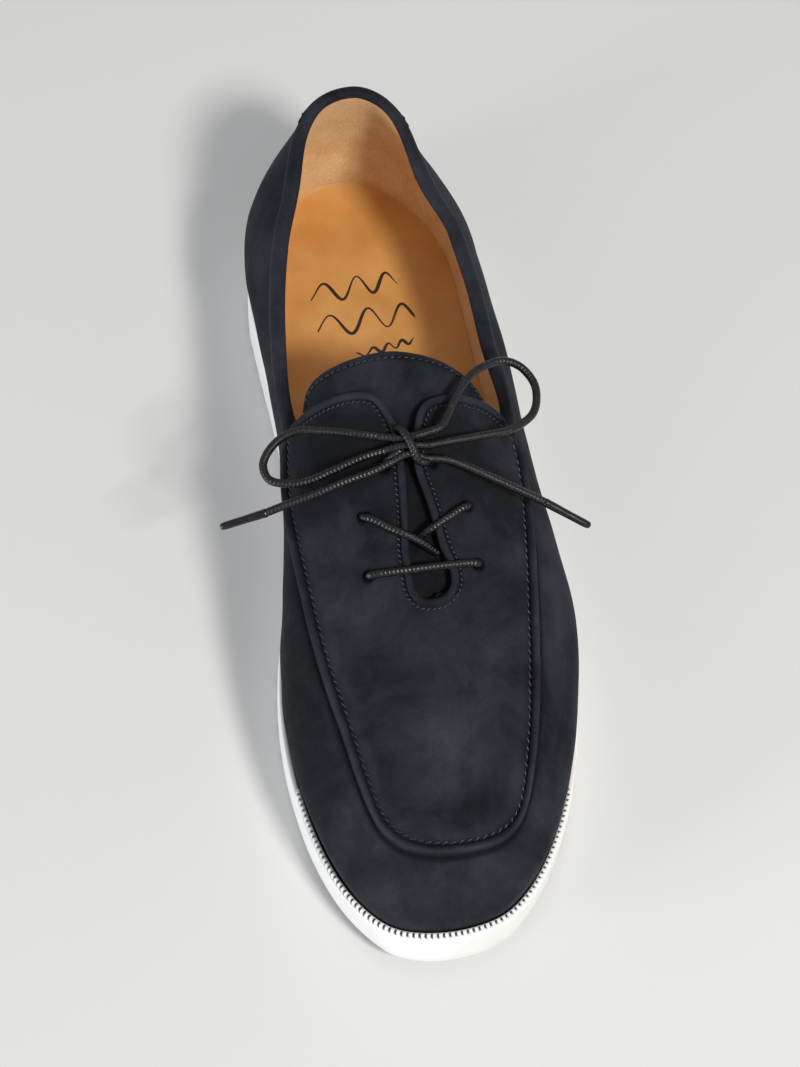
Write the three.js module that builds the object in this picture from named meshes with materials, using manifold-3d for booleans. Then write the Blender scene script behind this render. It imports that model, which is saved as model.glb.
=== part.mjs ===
// A left lace-up moccasin-toe shoe on a white cupsole, men's size about EU 42.
//
// Frame: millimetres, +Z up, the floor at z = 0. The toe points to -Y and the heel to +Y.
// +X is the lateral (outer) side of this left shoe, -X the medial (inner) side.
//
// The last (the foot-shaped form that the shoe is made round) is one table, LAST.
// The upper, tongue, insole, sole and toe rand are all worked out from it.

import * as THREE from 'three';
import { mergeVertices } from 'three/addons/utils/BufferGeometryUtils.js';
import Module from 'manifold-3d';

const wasm = await Module();
wasm.setup();

// ---------------------------------------------------------------- driving sizes

const TOE_TIP = -142.5;        // y of the upper's foremost point, at the feather edge
const HEEL_AXIS = 92;          // y of the upright axis that the heel sections turn round
const HEEL_WIDE = 56.5;        // axis to the back of the heel, at its fullest
const HEEL_FEATHER = 53;       // axis to the back of the heel, at the feather edge
const HEEL_CROWN = 250;        // height where the back wall would meet the axis
const HEEL_ROUND_MEDIAL = 2.2; // powers of the heel's curve in plan, fuller on the medial side
const HEEL_ROUND_LATERAL = 1.87;
const HEEL_LEAN = 2.2;         // the back of the collar leans this far to the lateral side
const QUARTER_LEAN = 3.0;      // and the collar draws in by this behind the lateral ankle
const HEEL_TOP = 77;           // height of the collar at the back of the heel
const LID = 96;                // the closed form is cut flat here, above every edge that is kept

const WALL = 2.2;              // leather and lining together
const GAP = 0.3;               // clearance between neighbouring pieces
const TONGUE_GAP = 1.5;        // room under the facing, where the lace runs
const TONGUE_THICK = 2.4;
const INSOLE_THICK = 3.5;

const RIM_WALL = 2.1;          // cupsole side wall
const TOE_RIM_EXTRA = 0.5;     // the side wall is thicker under the toe strip
const TOE_RIM_START = -70;     // y where that begins
const TOE_RIM_RUN = 40;        // and the length over which it is reached
const SOLE_FLARE = 0.5;        // the foot of the side wall stands out by this
const TOE_FLARE = 3.2;         // and by this much more at the toe tip, as a bumper
const TOE_FLARE_POWER = 4;     // how quickly the bumper fades as the outline turns from the tip
const SOLE_ROUND = 1.4;        // rounding under the side wall
const SOLE_ROUND_MID = 0.3;    // the rounding's middle corner, as a share of it
const TOE_SPRING = 7.5;        // lift of the sole under the toe tip
const SPRING_START = -78;      // y where the toe spring begins
const ARCH_LIFT = 1.6;         // lift of the waist between heel and ball
const HEEL_BEVEL = 1.8;        // lift at the very back of the heel
const HEEL_BEVEL_START = 128;
const HEEL_BEVEL_RUN = 20;     // length over which that lift is reached
const WAIST_MIDDLE = 14;       // y of the middle of the waist's lift
const WAIST_HALF = 38;         // and half its length
const SPRING_PAST_TOE = 6;     // the tread keeps rising this far past the toe tip

const GROOVE_WIDTH = 2.2;      // plain tread: shallow grooves across the sole
const GROOVE_DEPTH = 1.5;

const RAND_STANDOFF = 0.8;     // feather edge to the inner face of the toe strip
const RAND_WIDTH = 1.6;        // strip that lies on the rim round the toe
const RAND_HEIGHT = 2.3;
const RAND_MEDIAL_END = -88;   // y where the strip ends on each side
const RAND_LATERAL_END = -98;

const CUTTER_HALF = 70;        // cutters reach past the upper by these
const CUTTER_FOOT = 50;
const CUTTER_TALL = 60;
const FLOOR_DROP = 3;          // the inner form is cut through the open underside
const EYELET_REACH = 4;        // an eyelet's cutter passes the leather by this

const LACE = 2.7;              // diameter of the round lace
const EYELET = 3.7;            // diameter of the punched eyelets
const AGLET = 3.0;

const STATIONS = 30;           // sections between the heel axis and the toe tip
const HEEL_STEPS = 14;         // sections turned round the heel
const LOW_STEPS = 5;           // samples from the feather edge to the widest line
const HIGH_STEPS = 15;         // samples from the widest line to the crown

// ---------------------------------------------------------------- the last, as a table

// A row for each cross-section. centre and wide give the widest line (middle and half-width),
// wideZ its height, crownZ the height where the two sides meet over the middle, base and baseMid
// the feather edge (half-width and middle), ridge the middle of the roof, and dome and side the
// powers of the section's curve.
const LAST = [
  //  y       centre  wide  wideZ  crownZ  base  baseMid  ridge  dome  side
  [TOE_TIP,   -4.0,   0.0,  25.0,  25.0,   0.0,  -4.0,    -4.0,  2.2,  2.0],
  [-140,      -3.7,  15.6,  25.6,  32.5,  15.2,  -3.7,    -3.4,  2.2,  2.0],
  [-134,      -3.2,  24.4,  26.2,  37.0,  23.9,  -3.2,    -2.4,  2.2,  2.0],
  [-120,      -2.2,  34.4,  27.0,  43.2,  33.8,  -2.2,    -0.6,  2.2,  2.0],
  [-98,       -0.9,  43.2,  28.0,  50.6,  42.4,  -0.6,     0.4,  2.1,  2.0],
  [-72,        0.6,  48.6,  29.5,  58.4,  47.4,   0.8,     0.4,  2.0,  2.0],
  [-46,        3.0,  49.6,  32.0,  66.2,  47.8,   2.8,     0.2,  2.1,  2.0],
  [-20,        4.2,  46.0,  35.0,  74.4,  43.0,   4.4,     0.0,  2.45, 2.0],
  [5,          3.8,  43.3,  37.5,  80.6,  39.2,   4.8,     0.2,  2.45, 2.0],
  [24,         3.2,  42.2,  39.0,  85.5,  37.6,   4.0,     0.6,  2.2,  1.9],
  [50,         2.6,  42.2,  40.0,  84.5,  37.4,   2.4,    -0.9,  1.9,  1.3],
  [75,         0.4,  41.8,  41.0,  89.0,  37.8,   0.2,     0.4,  1.75, 1.05],
  [HEEL_AXIS, -1.2,  41.4,  41.5,  89.0,  38.0,  -1.2,     0.8,  1.7,  1.0],
];
const [CENTRE, WIDE, WIDE_Z, CROWN_Z, BASE, BASE_MID, RIDGE, DOME, SIDE] = [1, 2, 3, 4, 5, 6, 7, 8, 9];
const RIDGE_REACH = 0.6;       // share of the rise over which the middle moves to the ridge

// Heights of the sole, a row for each place along it: the plate under the foot, and how far the
// side wall rises above the plate.
const SOLE_TABLE = [
  //  y    plate  rise
  [-150,   11.5,  3.0],
  [-120,   11.8,  3.4],
  [-90,    12.2,  4.6],
  [-60,    13.0,  5.4],
  [30,     15.5,  5.5],
  [100,    17.5,  5.5],
  [150,    17.5,  5.5],
];

// The top line of the opening, seen from the side: collar low behind the facing, high at the heel.
const TOPLINE = [
  //  y     z
  [17.8,   LID + 12],
  [17.8,   74.0],
  [20.6,   66.0],
  [27.0,   61.0],
  [40.0,   58.6],
  [56.0,   58.0],
  [75.0,   60.0],
  [95.0,   63.4],
  [115.0,  67.6],
  [132.0,  72.4],
  [150.0,  77.0],
  [165.0,  78.5],
  [165.0,  LID + 12],
];
const TOPLINE_SKEW = -0.055;   // the lateral facing ends a little further forward
const SKEW_FRONT = 40;         // y ahead of which the top line is skewed so

// The throat slit, a row for each place along it: middle and half-width. It opens into a V at
// the top and ends in a round below.
const THROAT = [
  //  y      middle  half
  [26.0,     0.6,    24.0],
  [18.4,     0.6,    14.0],
  [16.2,     0.5,     8.6],
  [12.5,     0.4,     5.0],
  [7.5,      0.2,     2.8],
  [2.0,      0.2,     1.8],
  [-5.0,     0.3,     1.8],
  [-17.0,    1.2,     3.0],
  [-31.0,    1.9,     5.0],
  [-38.0,    2.6,     6.0],
];
const THROAT_END = -46.0;

// Eyelet places: each row of the lacing, from the toe up.
const EYELETS = [
  //  y      medial  lateral
  [-36.6,   -17.0,   18.7],
  [-18.2,   -16.4,   17.6],
  [-4.0,     -7.6,    7.6],
];

// ---------------------------------------------------------------- small tools

const hexColour = (hex) => new THREE.Color(hex);

function smooth(t) {
  const c = Math.min(1, Math.max(0, t));
  return c * c * (3 - 2 * c);
}

// Cubic through the rows of a table (key in column 0), with slopes taken from the neighbours.
function along(table, column, x, key = (value) => value) {
  const last = table.length - 1;
  const at = (i) => key(table[i][0]);
  const slope = (i) => {
    const a = Math.max(0, i - 1);
    const b = Math.min(last, i + 1);
    return (table[b][column] - table[a][column]) / (at(b) - at(a));
  };
  const q = Math.min(at(last), Math.max(at(0), key(x)));
  let i = 0;
  while (i < last - 1 && q > at(i + 1)) {
    i += 1;
  }
  const span = at(i + 1) - at(i);
  const t = (q - at(i)) / span;
  const [t2, t3] = [t * t, t * t * t];
  return (2 * t3 - 3 * t2 + 1) * table[i][column] + (t3 - 2 * t2 + t) * span * slope(i)
    + (3 * t2 - 2 * t3) * table[i + 1][column] + (t3 - t2) * span * slope(i + 1);
}

// Sections crowd towards the toe tip as a root, so that the toe closes round and not pointed.
const toeKey = (y) => Math.sqrt(Math.max(0, y - TOE_TIP) / (HEEL_AXIS - TOE_TIP));
const last = (column, y) => along(LAST, column, y, toeKey);

function springZ(y) {
  if (y < SPRING_START) {
    return TOE_SPRING * ((SPRING_START - y) / (SPRING_START - TOE_TIP)) ** 2;
  }
  if (y > HEEL_BEVEL_START) {
    return HEEL_BEVEL * ((y - HEEL_BEVEL_START) / HEEL_BEVEL_RUN) ** 2;
  }
  const waist = Math.max(0, 1 - ((y - WAIST_MIDDLE) / WAIST_HALF) ** 2);
  return ARCH_LIFT * waist * waist;
}
const walkZ = (y) => springZ(Math.max(y, TOE_TIP - SPRING_PAST_TOE));
const plateZ = (y) => walkZ(y) + along(SOLE_TABLE, 1, y);
const rimZ = (y) => plateZ(y) + along(SOLE_TABLE, 2, y);

// Stations run once round the shoe: heel axis, medial side, toe tip, lateral side, and then
// round the heel. Each has a direction out from the middle, and the sizes of its section.
function station(index) {
  if (index <= 2 * STATIONS) {
    const sign = index <= STATIONS ? -1 : 1;
    const s = Math.abs(STATIONS - index) / STATIONS;
    const y = TOE_TIP + (HEEL_AXIS - TOE_TIP) * s * s;
    return {
      y, sign,
      dir: [sign, 0],
      wide: last(WIDE, y), wideMid: last(CENTRE, y), wideZ: last(WIDE_Z, y),
      base: last(BASE, y), baseMid: last(BASE_MID, y), ridge: last(RIDGE, y),
      crownZ: last(CROWN_Z, y), dome: last(DOME, y), side: last(SIDE, y), lean: 0,
    };
  }
  const angle = Math.PI * (index - 2 * STATIONS) / HEEL_STEPS;
  const [c, s] = [Math.cos(angle), Math.sin(angle)];
  const y = HEEL_AXIS;
  const power = c > 0 ? HEEL_ROUND_LATERAL : HEEL_ROUND_MEDIAL;
  const radius = (half, back) => (
    (Math.abs(c) / half) ** power + (s / back) ** power) ** (-1 / power);
  const meet = 1 / (last(CROWN_Z, y) - last(WIDE_Z, y));
  const meetBack = 1 / (HEEL_CROWN - last(WIDE_Z, y));
  const blend = s ** 4;
  const drawIn = c > 0 ? QUARTER_LEAN * 2 * c * s : 0;
  return {
    y, sign: Math.sign(c),
    dir: [c, s],
    wide: radius(last(WIDE, y), HEEL_WIDE), wideMid: last(CENTRE, y), wideZ: last(WIDE_Z, y),
    base: radius(last(BASE, y), HEEL_FEATHER), baseMid: last(BASE_MID, y),
    ridge: last(RIDGE, y), lean: HEEL_LEAN * s ** 4 - drawIn,
    crownZ: last(WIDE_Z, y) + 1 / (meet + (meetBack - meet) * blend),
    dome: last(DOME, y), side: last(SIDE, y),
  };
}
const AROUND = 2 * STATIONS + HEEL_STEPS;

// A point out from a station's middle.
function outFrom(st, distance, mid, z) {
  return new THREE.Vector3(mid + st.dir[0] * distance, st.y + st.dir[1] * distance, z);
}

// The plan of the feather edge at a station, moved out along its own normal. The distance is a
// number, or worked out from y and from how far the normal faces forward (0 to 1).
function featherPoint(index, outset, z) {
  const at = (i) => {
    const st = station((i + AROUND) % AROUND);
    return outFrom(st, st.base, st.baseMid, 0);
  };
  const here = at(index);
  const step = at(index + 1).sub(at(index - 1));
  const normal = new THREE.Vector3(step.y, -step.x, 0).normalize();
  const distance = typeof outset === 'function'
    ? outset(here.y, Math.max(0, -normal.y)) : outset;
  const point = here.addScaledVector(normal, distance);
  point.z = z(point.y);
  return point;
}

// ---------------------------------------------------------------- solids from grids

function geometryOf(points, faces) {
  const geometry = new THREE.BufferGeometry();
  const position = new Float32Array(points.flatMap((p) => [p.x, p.y, p.z]));
  geometry.setAttribute('position', new THREE.BufferAttribute(position, 3));
  geometry.setIndex(faces.flat());
  return geometry;
}

function solidOf(geometry) {
  const bare = geometry.clone();
  bare.deleteAttribute('normal');
  bare.deleteAttribute('uv');
  const merged = mergeVertices(bare, 1e-3);
  const index = merged.index.array;
  const kept = [];
  for (let i = 0; i < index.length; i += 3) {
    const [a, b, c] = [index[i], index[i + 1], index[i + 2]];
    if (a !== b && b !== c && a !== c) {
      kept.push(a, b, c);
    }
  }
  return new wasm.Manifold(new wasm.Mesh({
    numProp: 3,
    vertProperties: new Float32Array(merged.attributes.position.array),
    triVerts: new Uint32Array(kept),
  }));
}

function geometryFrom(solid) {
  const mesh = solid.getMesh();
  const geometry = new THREE.BufferGeometry();
  geometry.setAttribute('position', new THREE.BufferAttribute(mesh.vertProperties, 3));
  geometry.setIndex(new THREE.BufferAttribute(mesh.triVerts, 1));
  return geometry;
}

// Rings of equal length, skinned one to the next. closed joins each ring's ends.
function skin(rings, closed, flip = false) {
  const width = rings[0].length;
  const points = rings.flat();
  const faces = [];
  for (let r = 0; r + 1 < rings.length; r += 1) {
    for (let i = 0; i < (closed ? width : width - 1); i += 1) {
      const j = (i + 1) % width;
      const [a, b] = [r * width + i, r * width + j];
      const [c, d] = [a + width, b + width];
      faces.push(flip ? [a, c, b] : [a, b, c], flip ? [b, c, d] : [b, d, c]);
    }
  }
  return { points, faces };
}

// Closes a ring round the shoe with strips from the medial to the lateral side.
function strips(ring, flip) {
  const faces = [];
  const mirror = (i) => (2 * STATIONS - i + 2 * AROUND) % AROUND;
  const first = STATIONS;
  const half = AROUND / 2;
  for (let k = 0; k < half; k += 1) {
    const a = (first - k + AROUND) % AROUND;
    const b = (first - k - 1 + AROUND) % AROUND;
    const [c, d] = [mirror(a), mirror(b)];
    const quad = [[a, c, b], [b, c, d]];
    faces.push(...quad.map((f) => (flip ? [f[0], f[2], f[1]] : f)));
  }
  return { points: ring, faces };
}

function join(...parts) {
  const points = [];
  const faces = [];
  for (const part of parts) {
    const offset = points.length;
    points.push(...part.points);
    faces.push(...part.faces.map((f) => f.map((i) => i + offset)));
  }
  return geometryOf(points, faces);
}

// A stack of rings round the shoe at given outsets and heights, closed below and above.
function stackedRings(levels) {
  const rings = levels.map(([outset, z]) => {
    const ring = [];
    for (let i = 0; i < AROUND; i += 1) {
      ring.push(featherPoint(i, outset, z));
    }
    return ring;
  });
  const wall = skin(rings, true);
  return join(wall, strips(rings[0], true), strips(rings[rings.length - 1], false));
}

// ---------------------------------------------------------------- upper

// One section of the last, from the feather edge over the widest line to the middle, sampled
// evenly along its length.
function section(st) {
  const foot = plateZ(st.y + st.dir[1] * st.base) + GAP;
  const bulge = rimZ(st.y + st.dir[1] * st.base);
  const top = Math.max(st.wideZ, bulge + 1);
  const points = [];
  for (let i = 0; i < LOW_STEPS; i += 1) {
    const z = foot + (top - foot) * i / LOW_STEPS;
    const t = smooth((z - bulge) / (top - bulge));
    points.push(outFrom(st, st.base + (st.wide - st.base) * t,
      st.baseMid + (st.wideMid - st.baseMid) * t, z));
  }
  const fine = [];
  const FINE = 120;
  for (let i = 0; i <= FINE; i += 1) {
    const rise = Math.sin(Math.PI / 2 * i / FINE);
    const distance = st.wide * (1 - rise ** st.dome) ** (1 / st.side);
    const z = Math.min(LID, st.wideZ + (st.crownZ - st.wideZ) * rise);
    const mid = st.wideMid + (st.ridge - st.wideMid) * smooth(rise / RIDGE_REACH)
      + st.lean * (z - st.wideZ) / (HEEL_TOP - st.wideZ);
    fine.push(outFrom(st, distance, mid, z));
  }
  const reach = [0];
  for (let i = 1; i <= FINE; i += 1) {
    reach.push(reach[i - 1] + fine[i].distanceTo(fine[i - 1]));
  }
  let k = 0;
  for (let i = 0; i <= HIGH_STEPS; i += 1) {
    const want = reach[FINE] * i / HIGH_STEPS;
    while (k < FINE - 1 && reach[k + 1] < want) {
      k += 1;
    }
    const t = Math.min(1, Math.max(0, (want - reach[k]) / Math.max(1e-9, reach[k + 1] - reach[k])));
    points.push(fine[k].clone().lerp(fine[k + 1], t));
  }
  return points;
}

const columns = [];
for (let i = 0; i < AROUND; i += 1) {
  columns.push(section(station(i)));
}
const outerRings = columns[0].map((_, level) => columns.map((column) => column[level]));

// The same grid moved inwards along its own normals.
function insetRings(rings, depth) {
  const tall = rings.length;
  return rings.map((ring, r) => ring.map((point, i) => {
    const before = ring[(i - 1 + AROUND) % AROUND];
    const after = ring[(i + 1) % AROUND];
    const below = rings[Math.max(0, r - 1)][i];
    const above = rings[Math.min(tall - 1, r + 1)][i];
    const normal = after.clone().sub(before).cross(above.clone().sub(below));
    if (i === STATIONS) {
      normal.set(0, -1, 0);
    } else if (r === tall - 1) {
      normal.set(0, 0, 1);
    } else if (r < LOW_STEPS) {
      normal.z = 0;
    }
    return point.clone().addScaledVector(normal.normalize(), -depth);
  }));
}

// Everything inside the outer surface moved in by a depth, closed flat below.
function lastForm(depth, floorDrop = 0) {
  const rings = depth > 0 ? insetRings(outerRings, depth) : outerRings;
  const foot = rings[0].map((p) => p.clone().setZ(p.z - floorDrop));
  return join(skin([foot, ...rings.slice(1)], true), strips(foot, true),
    strips(rings[rings.length - 1], false));
}

function extrudeAcross(rows, half) {
  const shape = new THREE.Shape(rows.map(([y, z]) => new THREE.Vector2(y, z)));
  const geometry = new THREE.ExtrudeGeometry(shape, { depth: 2 * half, bevelEnabled: false });
  geometry.translate(0, 0, -half);
  geometry.rotateY(Math.PI / 2);
  geometry.rotateX(Math.PI / 2);
  return geometry;
}

function smoothRows(rows, steps) {
  const curve = new THREE.CatmullRomCurve3(rows.map(([y, z]) => new THREE.Vector3(y, z, 0)),
    false, 'centripetal');
  return curve.getPoints(steps).map((p) => [p.x, p.y]);
}

function collarCutter() {
  const rim = smoothRows(TOPLINE.slice(1, -1), 40);
  const cutter = extrudeAcross([TOPLINE[0], ...rim, TOPLINE[TOPLINE.length - 1]],
    CUTTER_HALF);
  const position = cutter.attributes.position;
  for (let i = 0; i < position.count; i += 1) {
    if (position.getY(i) < SKEW_FRONT) {
      position.setY(i, position.getY(i) + TOPLINE_SKEW * position.getX(i));
    }
  }
  return cutter;
}

function throatCutter() {
  const rows = smoothRows(THROAT.map(([y, middle]) => [y, middle]), 24);
  const halves = smoothRows(THROAT.map(([y, , half]) => [y, half]), 24);
  const right = rows.map(([y, middle], i) => new THREE.Vector2(middle + halves[i][1], y));
  const left = rows.map(([y, middle], i) => new THREE.Vector2(middle - halves[i][1], y));
  const [endY, endMiddle] = rows[rows.length - 1];
  const endHalf = halves[halves.length - 1][1];
  const round = [];
  const ROUND_STEPS = 8;
  for (let i = 1; i < ROUND_STEPS; i += 1) {
    const a = Math.PI * i / ROUND_STEPS;
    round.push(new THREE.Vector2(endMiddle + endHalf * Math.cos(a),
      endY + (THROAT_END - endY) * Math.sin(a)));
  }
  const shape = new THREE.Shape([...right, ...round, ...left.reverse()]);
  const geometry = new THREE.ExtrudeGeometry(shape, { depth: CUTTER_TALL, bevelEnabled: false });
  geometry.translate(0, 0, CUTTER_FOOT);
  return geometry;
}

// Height of the outer surface over a place in plan, found on the section through it.
function roofAt(x, y) {
  const half = last(WIDE, y);
  const [low, high] = [last(WIDE_Z, y), last(CROWN_Z, y)];
  const [wideMid, ridge] = [last(CENTRE, y), last(RIDGE, y)];
  let [a, b] = [0, 1];
  for (let i = 0; i < 40; i += 1) {
    const rise = (a + b) / 2;
    const mid = wideMid + (ridge - wideMid) * smooth(rise / RIDGE_REACH);
    const distance = half * (1 - rise ** last(DOME, y)) ** (1 / last(SIDE, y));
    if (distance > Math.abs(x - mid)) {
      a = rise;
    } else {
      b = rise;
    }
  }
  return low + (high - low) * a;
}

function roofPoint(x, y, lift = 0) {
  const d = 0.5;
  const slopeX = (roofAt(x + d, y) - roofAt(x - d, y)) / (2 * d);
  const slopeY = (roofAt(x, y + d) - roofAt(x, y - d)) / (2 * d);
  const normal = new THREE.Vector3(-slopeX, -slopeY, 1).normalize();
  return new THREE.Vector3(x, y, roofAt(x, y)).addScaledVector(normal, lift);
}

function eyeletCutter(x, y) {
  const top = roofPoint(x, y, EYELET_REACH);
  const foot = roofPoint(x, y, -WALL - EYELET_REACH);
  const cutter = new THREE.CylinderGeometry(EYELET / 2, EYELET / 2, top.distanceTo(foot), 12);
  cutter.applyQuaternion(new THREE.Quaternion().setFromUnitVectors(
    new THREE.Vector3(0, 1, 0), top.clone().sub(foot).normalize()));
  cutter.translate(...top.clone().add(foot).multiplyScalar(0.5).toArray());
  return cutter;
}

function upperGeometry() {
  let solid = solidOf(lastForm(0)).subtract(solidOf(lastForm(WALL, FLOOR_DROP)));
  solid = solid.subtract(solidOf(collarCutter()));
  solid = solid.subtract(solidOf(throatCutter()));
  for (const [y, medial, lateral] of EYELETS) {
    solid = solid.subtract(solidOf(eyeletCutter(medial, y)));
    solid = solid.subtract(solidOf(eyeletCutter(lateral, y)));
  }
  return geometryFrom(solid);
}

// ---------------------------------------------------------------- sole, rand and insole

// How far the side wall's outer face stands out from the feather edge.
function rimOut(y) {
  return GAP + RIM_WALL + TOE_RIM_EXTRA * smooth((TOE_RIM_START - y) / TOE_RIM_RUN);
}

function footOut(y, forward) {
  return rimOut(y) + SOLE_FLARE + TOE_FLARE * forward ** TOE_FLARE_POWER;
}

function grooveCutter(y) {
  const box = new THREE.BoxGeometry(2 * CUTTER_HALF, GROOVE_WIDTH, 2 * GROOVE_DEPTH);
  box.translate(0, y, 0);
  return box;
}

const GROOVES = [-70, -61, -52, -43, 70, 79, 88, 97, 106];   // y of each groove across the tread

function soleGeometry() {
  let solid = solidOf(stackedRings([
    [(y, forward) => footOut(y, forward) - SOLE_ROUND, walkZ],
    [(y, forward) => footOut(y, forward) - SOLE_ROUND_MID * SOLE_ROUND,
      (y) => walkZ(y) + SOLE_ROUND_MID * SOLE_ROUND],
    [footOut, (y) => walkZ(y) + SOLE_ROUND],
    [rimOut, rimZ],
    [GAP, rimZ],
    [GAP, plateZ],
  ]));
  for (const y of GROOVES) {
    solid = solid.subtract(solidOf(grooveCutter(y)));
  }
  return geometryFrom(solid);
}

// The strip round the toe lies on the rim, just outside the upper.
function randGeometry() {
  const chosen = [];
  for (let i = 0; i <= 2 * STATIONS; i += 1) {
    const { y, sign } = station(i);
    if (y < (sign < 0 ? RAND_MEDIAL_END : RAND_LATERAL_END)) {
      chosen.push(i);
    }
  }
  const inner = RAND_STANDOFF;
  const outer = inner + RAND_WIDTH;
  const low = (y) => rimZ(y) + GAP;
  const high = (y) => rimZ(y) + GAP + RAND_HEIGHT;
  const corner = (outset, z) => chosen.map((i) => featherPoint(i, outset, z));
  const rings = [corner(outer, low), corner(outer, high), corner(inner, high), corner(inner, low)];
  const across = chosen.map((_, k) => rings.map((ring) => ring[k]));
  const body = skin(across, true, true);
  const end = across.length - 1;
  const cap = (k, flip) => ({
    points: across[k],
    faces: flip ? [[0, 2, 1], [0, 3, 2]] : [[0, 1, 2], [0, 2, 3]],
  });
  return join(body, cap(0, false), cap(end, true));
}

function insoleGeometry() {
  const edge = -WALL - GAP;
  const low = (y) => plateZ(y) + GAP;
  const high = (y) => plateZ(y) + GAP + INSOLE_THICK;
  return geometryFrom(solidOf(stackedRings([[edge, low], [edge, high]])));
}

// ---------------------------------------------------------------- tongue

const TONGUE = { foot: -58, footHalf: 20, topHalf: 33 };
const TONGUE_TOP = [
  //  across  y
  [-1.00,   25.0],
  [-0.92,   30.5],
  [-0.80,   33.2],
  [-0.50,   33.6],
  [0.00,    32.2],
  [0.40,    30.2],
  [0.64,    27.4],
  [0.85,    23.8],
  [1.00,    19.5],
];

function tongueGeometry() {
  const LENGTHS = 16;
  const ACROSS = 14;
  const depth = WALL + TONGUE_GAP;
  const sheet = (lift) => {
    const rows = [];
    for (let i = 0; i <= LENGTHS; i += 1) {
      const row = [];
      for (let j = 0; j <= ACROSS; j += 1) {
        const v = 2 * j / ACROSS - 1;
        const top = along(TONGUE_TOP, 1, v);
        const t = i / LENGTHS;
        const y = TONGUE.foot + (top - TONGUE.foot) * t;
        const half = TONGUE.footHalf + (TONGUE.topHalf - TONGUE.footHalf) * t ** 0.8;
        row.push(roofPoint(v * half, y, lift));
      }
      rows.push(row);
    }
    return rows;
  };
  const over = sheet(-depth);
  const under = sheet(-depth - TONGUE_THICK);
  const rim = (rows) => {
    const right = rows.map((row) => row[ACROSS]);
    const left = rows.map((row) => row[0]);
    return [...rows[0].slice(0, -1), ...right.slice(0, -1),
      ...[...rows[LENGTHS]].reverse().slice(0, -1), ...left.reverse().slice(0, -1)];
  };
  return join(skin(over, false), skin(under, false, true),
    skin([rim(over), rim(under)], true, true));
}

// ---------------------------------------------------------------- lace

const LACE_LIFT = LACE / 2 + 0.4;      // centre of the lace above the leather it lies on
const TUBE_SIDES = 8;

// A round tube along a route, in steps, with flat ends.
function tube(points, diameter, steps) {
  const section8 = new THREE.Shape();
  for (let i = 0; i < TUBE_SIDES; i += 1) {
    const a = 2 * Math.PI * i / TUBE_SIDES;
    const [x, y] = [diameter / 2 * Math.cos(a), diameter / 2 * Math.sin(a)];
    if (i === 0) {
      section8.moveTo(x, y);
    } else {
      section8.lineTo(x, y);
    }
  }
  const route = new THREE.CatmullRomCurve3(points, false, 'centripetal');
  return new THREE.ExtrudeGeometry(section8, { steps, extrudePath: route, bevelEnabled: false });
}

// Places given as x, y in plan and the height above the leather, made into points.
const onLeather = (rows) => rows.map(([x, y, lift]) => roofPoint(x, y, lift));

// The straight bar of the lowest row, from eyelet to eyelet over the throat.
function barGeometry() {
  const [y, medial, lateral] = EYELETS[0];
  return tube(onLeather([
    [medial, y, -1.0], [medial, y, 0.7], [medial + 1.8, y, LACE_LIFT], [-9, y, LACE_LIFT],
    [0, y, LACE_LIFT], [9, y, LACE_LIFT], [lateral - 1.8, y, LACE_LIFT],
    [lateral, y, 0.7], [lateral, y, -1.0],
  ]), LACE, 16);
}

// The middle row: a strand from each eyelet dips into the throat, the medial one on top.
function crossingGeometry() {
  const [y, medial, lateral] = EYELETS[1];
  const over = tube(onLeather([
    [medial, y, -1.0], [medial, y, 0.7], [medial + 1.6, y - 1.0, LACE_LIFT],
    [-9, -22.9, LACE_LIFT], [-4.5, -25.7, 2.0], [-1.0, -27.8, 1.3], [2.0, -29.7, -0.2],
    [4.4, -31.2, -1.3],
  ]), LACE, 12);
  const under = tube(onLeather([
    [lateral, y, -1.0], [lateral, y, 0.7], [lateral - 1.6, y - 0.8, LACE_LIFT],
    [11, -21.6, LACE_LIFT], [7.0, -23.8, 2.0], [3.6, -25.6, 0.8], [1.4, -26.8, -0.7],
    [0.0, -27.4, -1.3],
  ]), LACE, 12);
  return geometryFrom(solidOf(over).add(solidOf(under)));
}

// The bow: each loop and each end is a route of points chosen by hand, from beside the knot.
const KNOT = { at: [0.2, 0.4, 83.6], half: [4.4, 5.4, 3.5] };
const LOOP_MEDIAL = [
  [-6.2, 3.0, 84.6], [-13.9, 5.4, 84.2], [-19.8, 7.6, 83.0], [-25.3, 9.5, 81.5],
  [-32.9, 11.5, 79.5], [-39.3, 10.5, 77.5], [-44.3, 6.6, 75.5], [-46.1, 2.6, 74.6],
  [-44.6, -2.4, 74.4], [-38.0, -5.0, 75.2], [-31.8, -5.2, 76.4], [-22.9, -3.4, 79.2],
  [-14.0, -1.6, 82.0], [-6.6, -0.8, 83.4],
];
const LOOP_LATERAL = [
  [6.2, 2.4, 86.2], [11.2, 3.8, 86.4], [13.8, 7.5, 86.0], [16.7, 12.7, 85.6],
  [20.6, 18.7, 85.0], [24.6, 23.0, 84.0], [29.0, 26.1, 82.6], [35.9, 28.6, 80.5],
  [41.6, 26.8, 78.5], [45.4, 20.9, 77.0], [45.2, 14.6, 76.4], [43.2, 10.1, 76.6],
  [39.6, 6.9, 77.4], [33.6, 3.7, 79.0], [27.4, 2.3, 80.6], [21.0, 1.1, 82.0],
  [14.5, 0.0, 83.4], [6.8, -0.8, 83.8],
];
const END_MEDIAL = [
  [-5.2, -4.6, 82.6], [-11.4, -6.7, 81.4], [-17.6, -7.8, 80.2], [-23.5, -9.0, 79.0],
  [-29.7, -10.2, 77.2], [-35.6, -11.0, 75.2], [-41.1, -11.6, 73.4], [-46.4, -12.4, 71.6],
];
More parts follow.
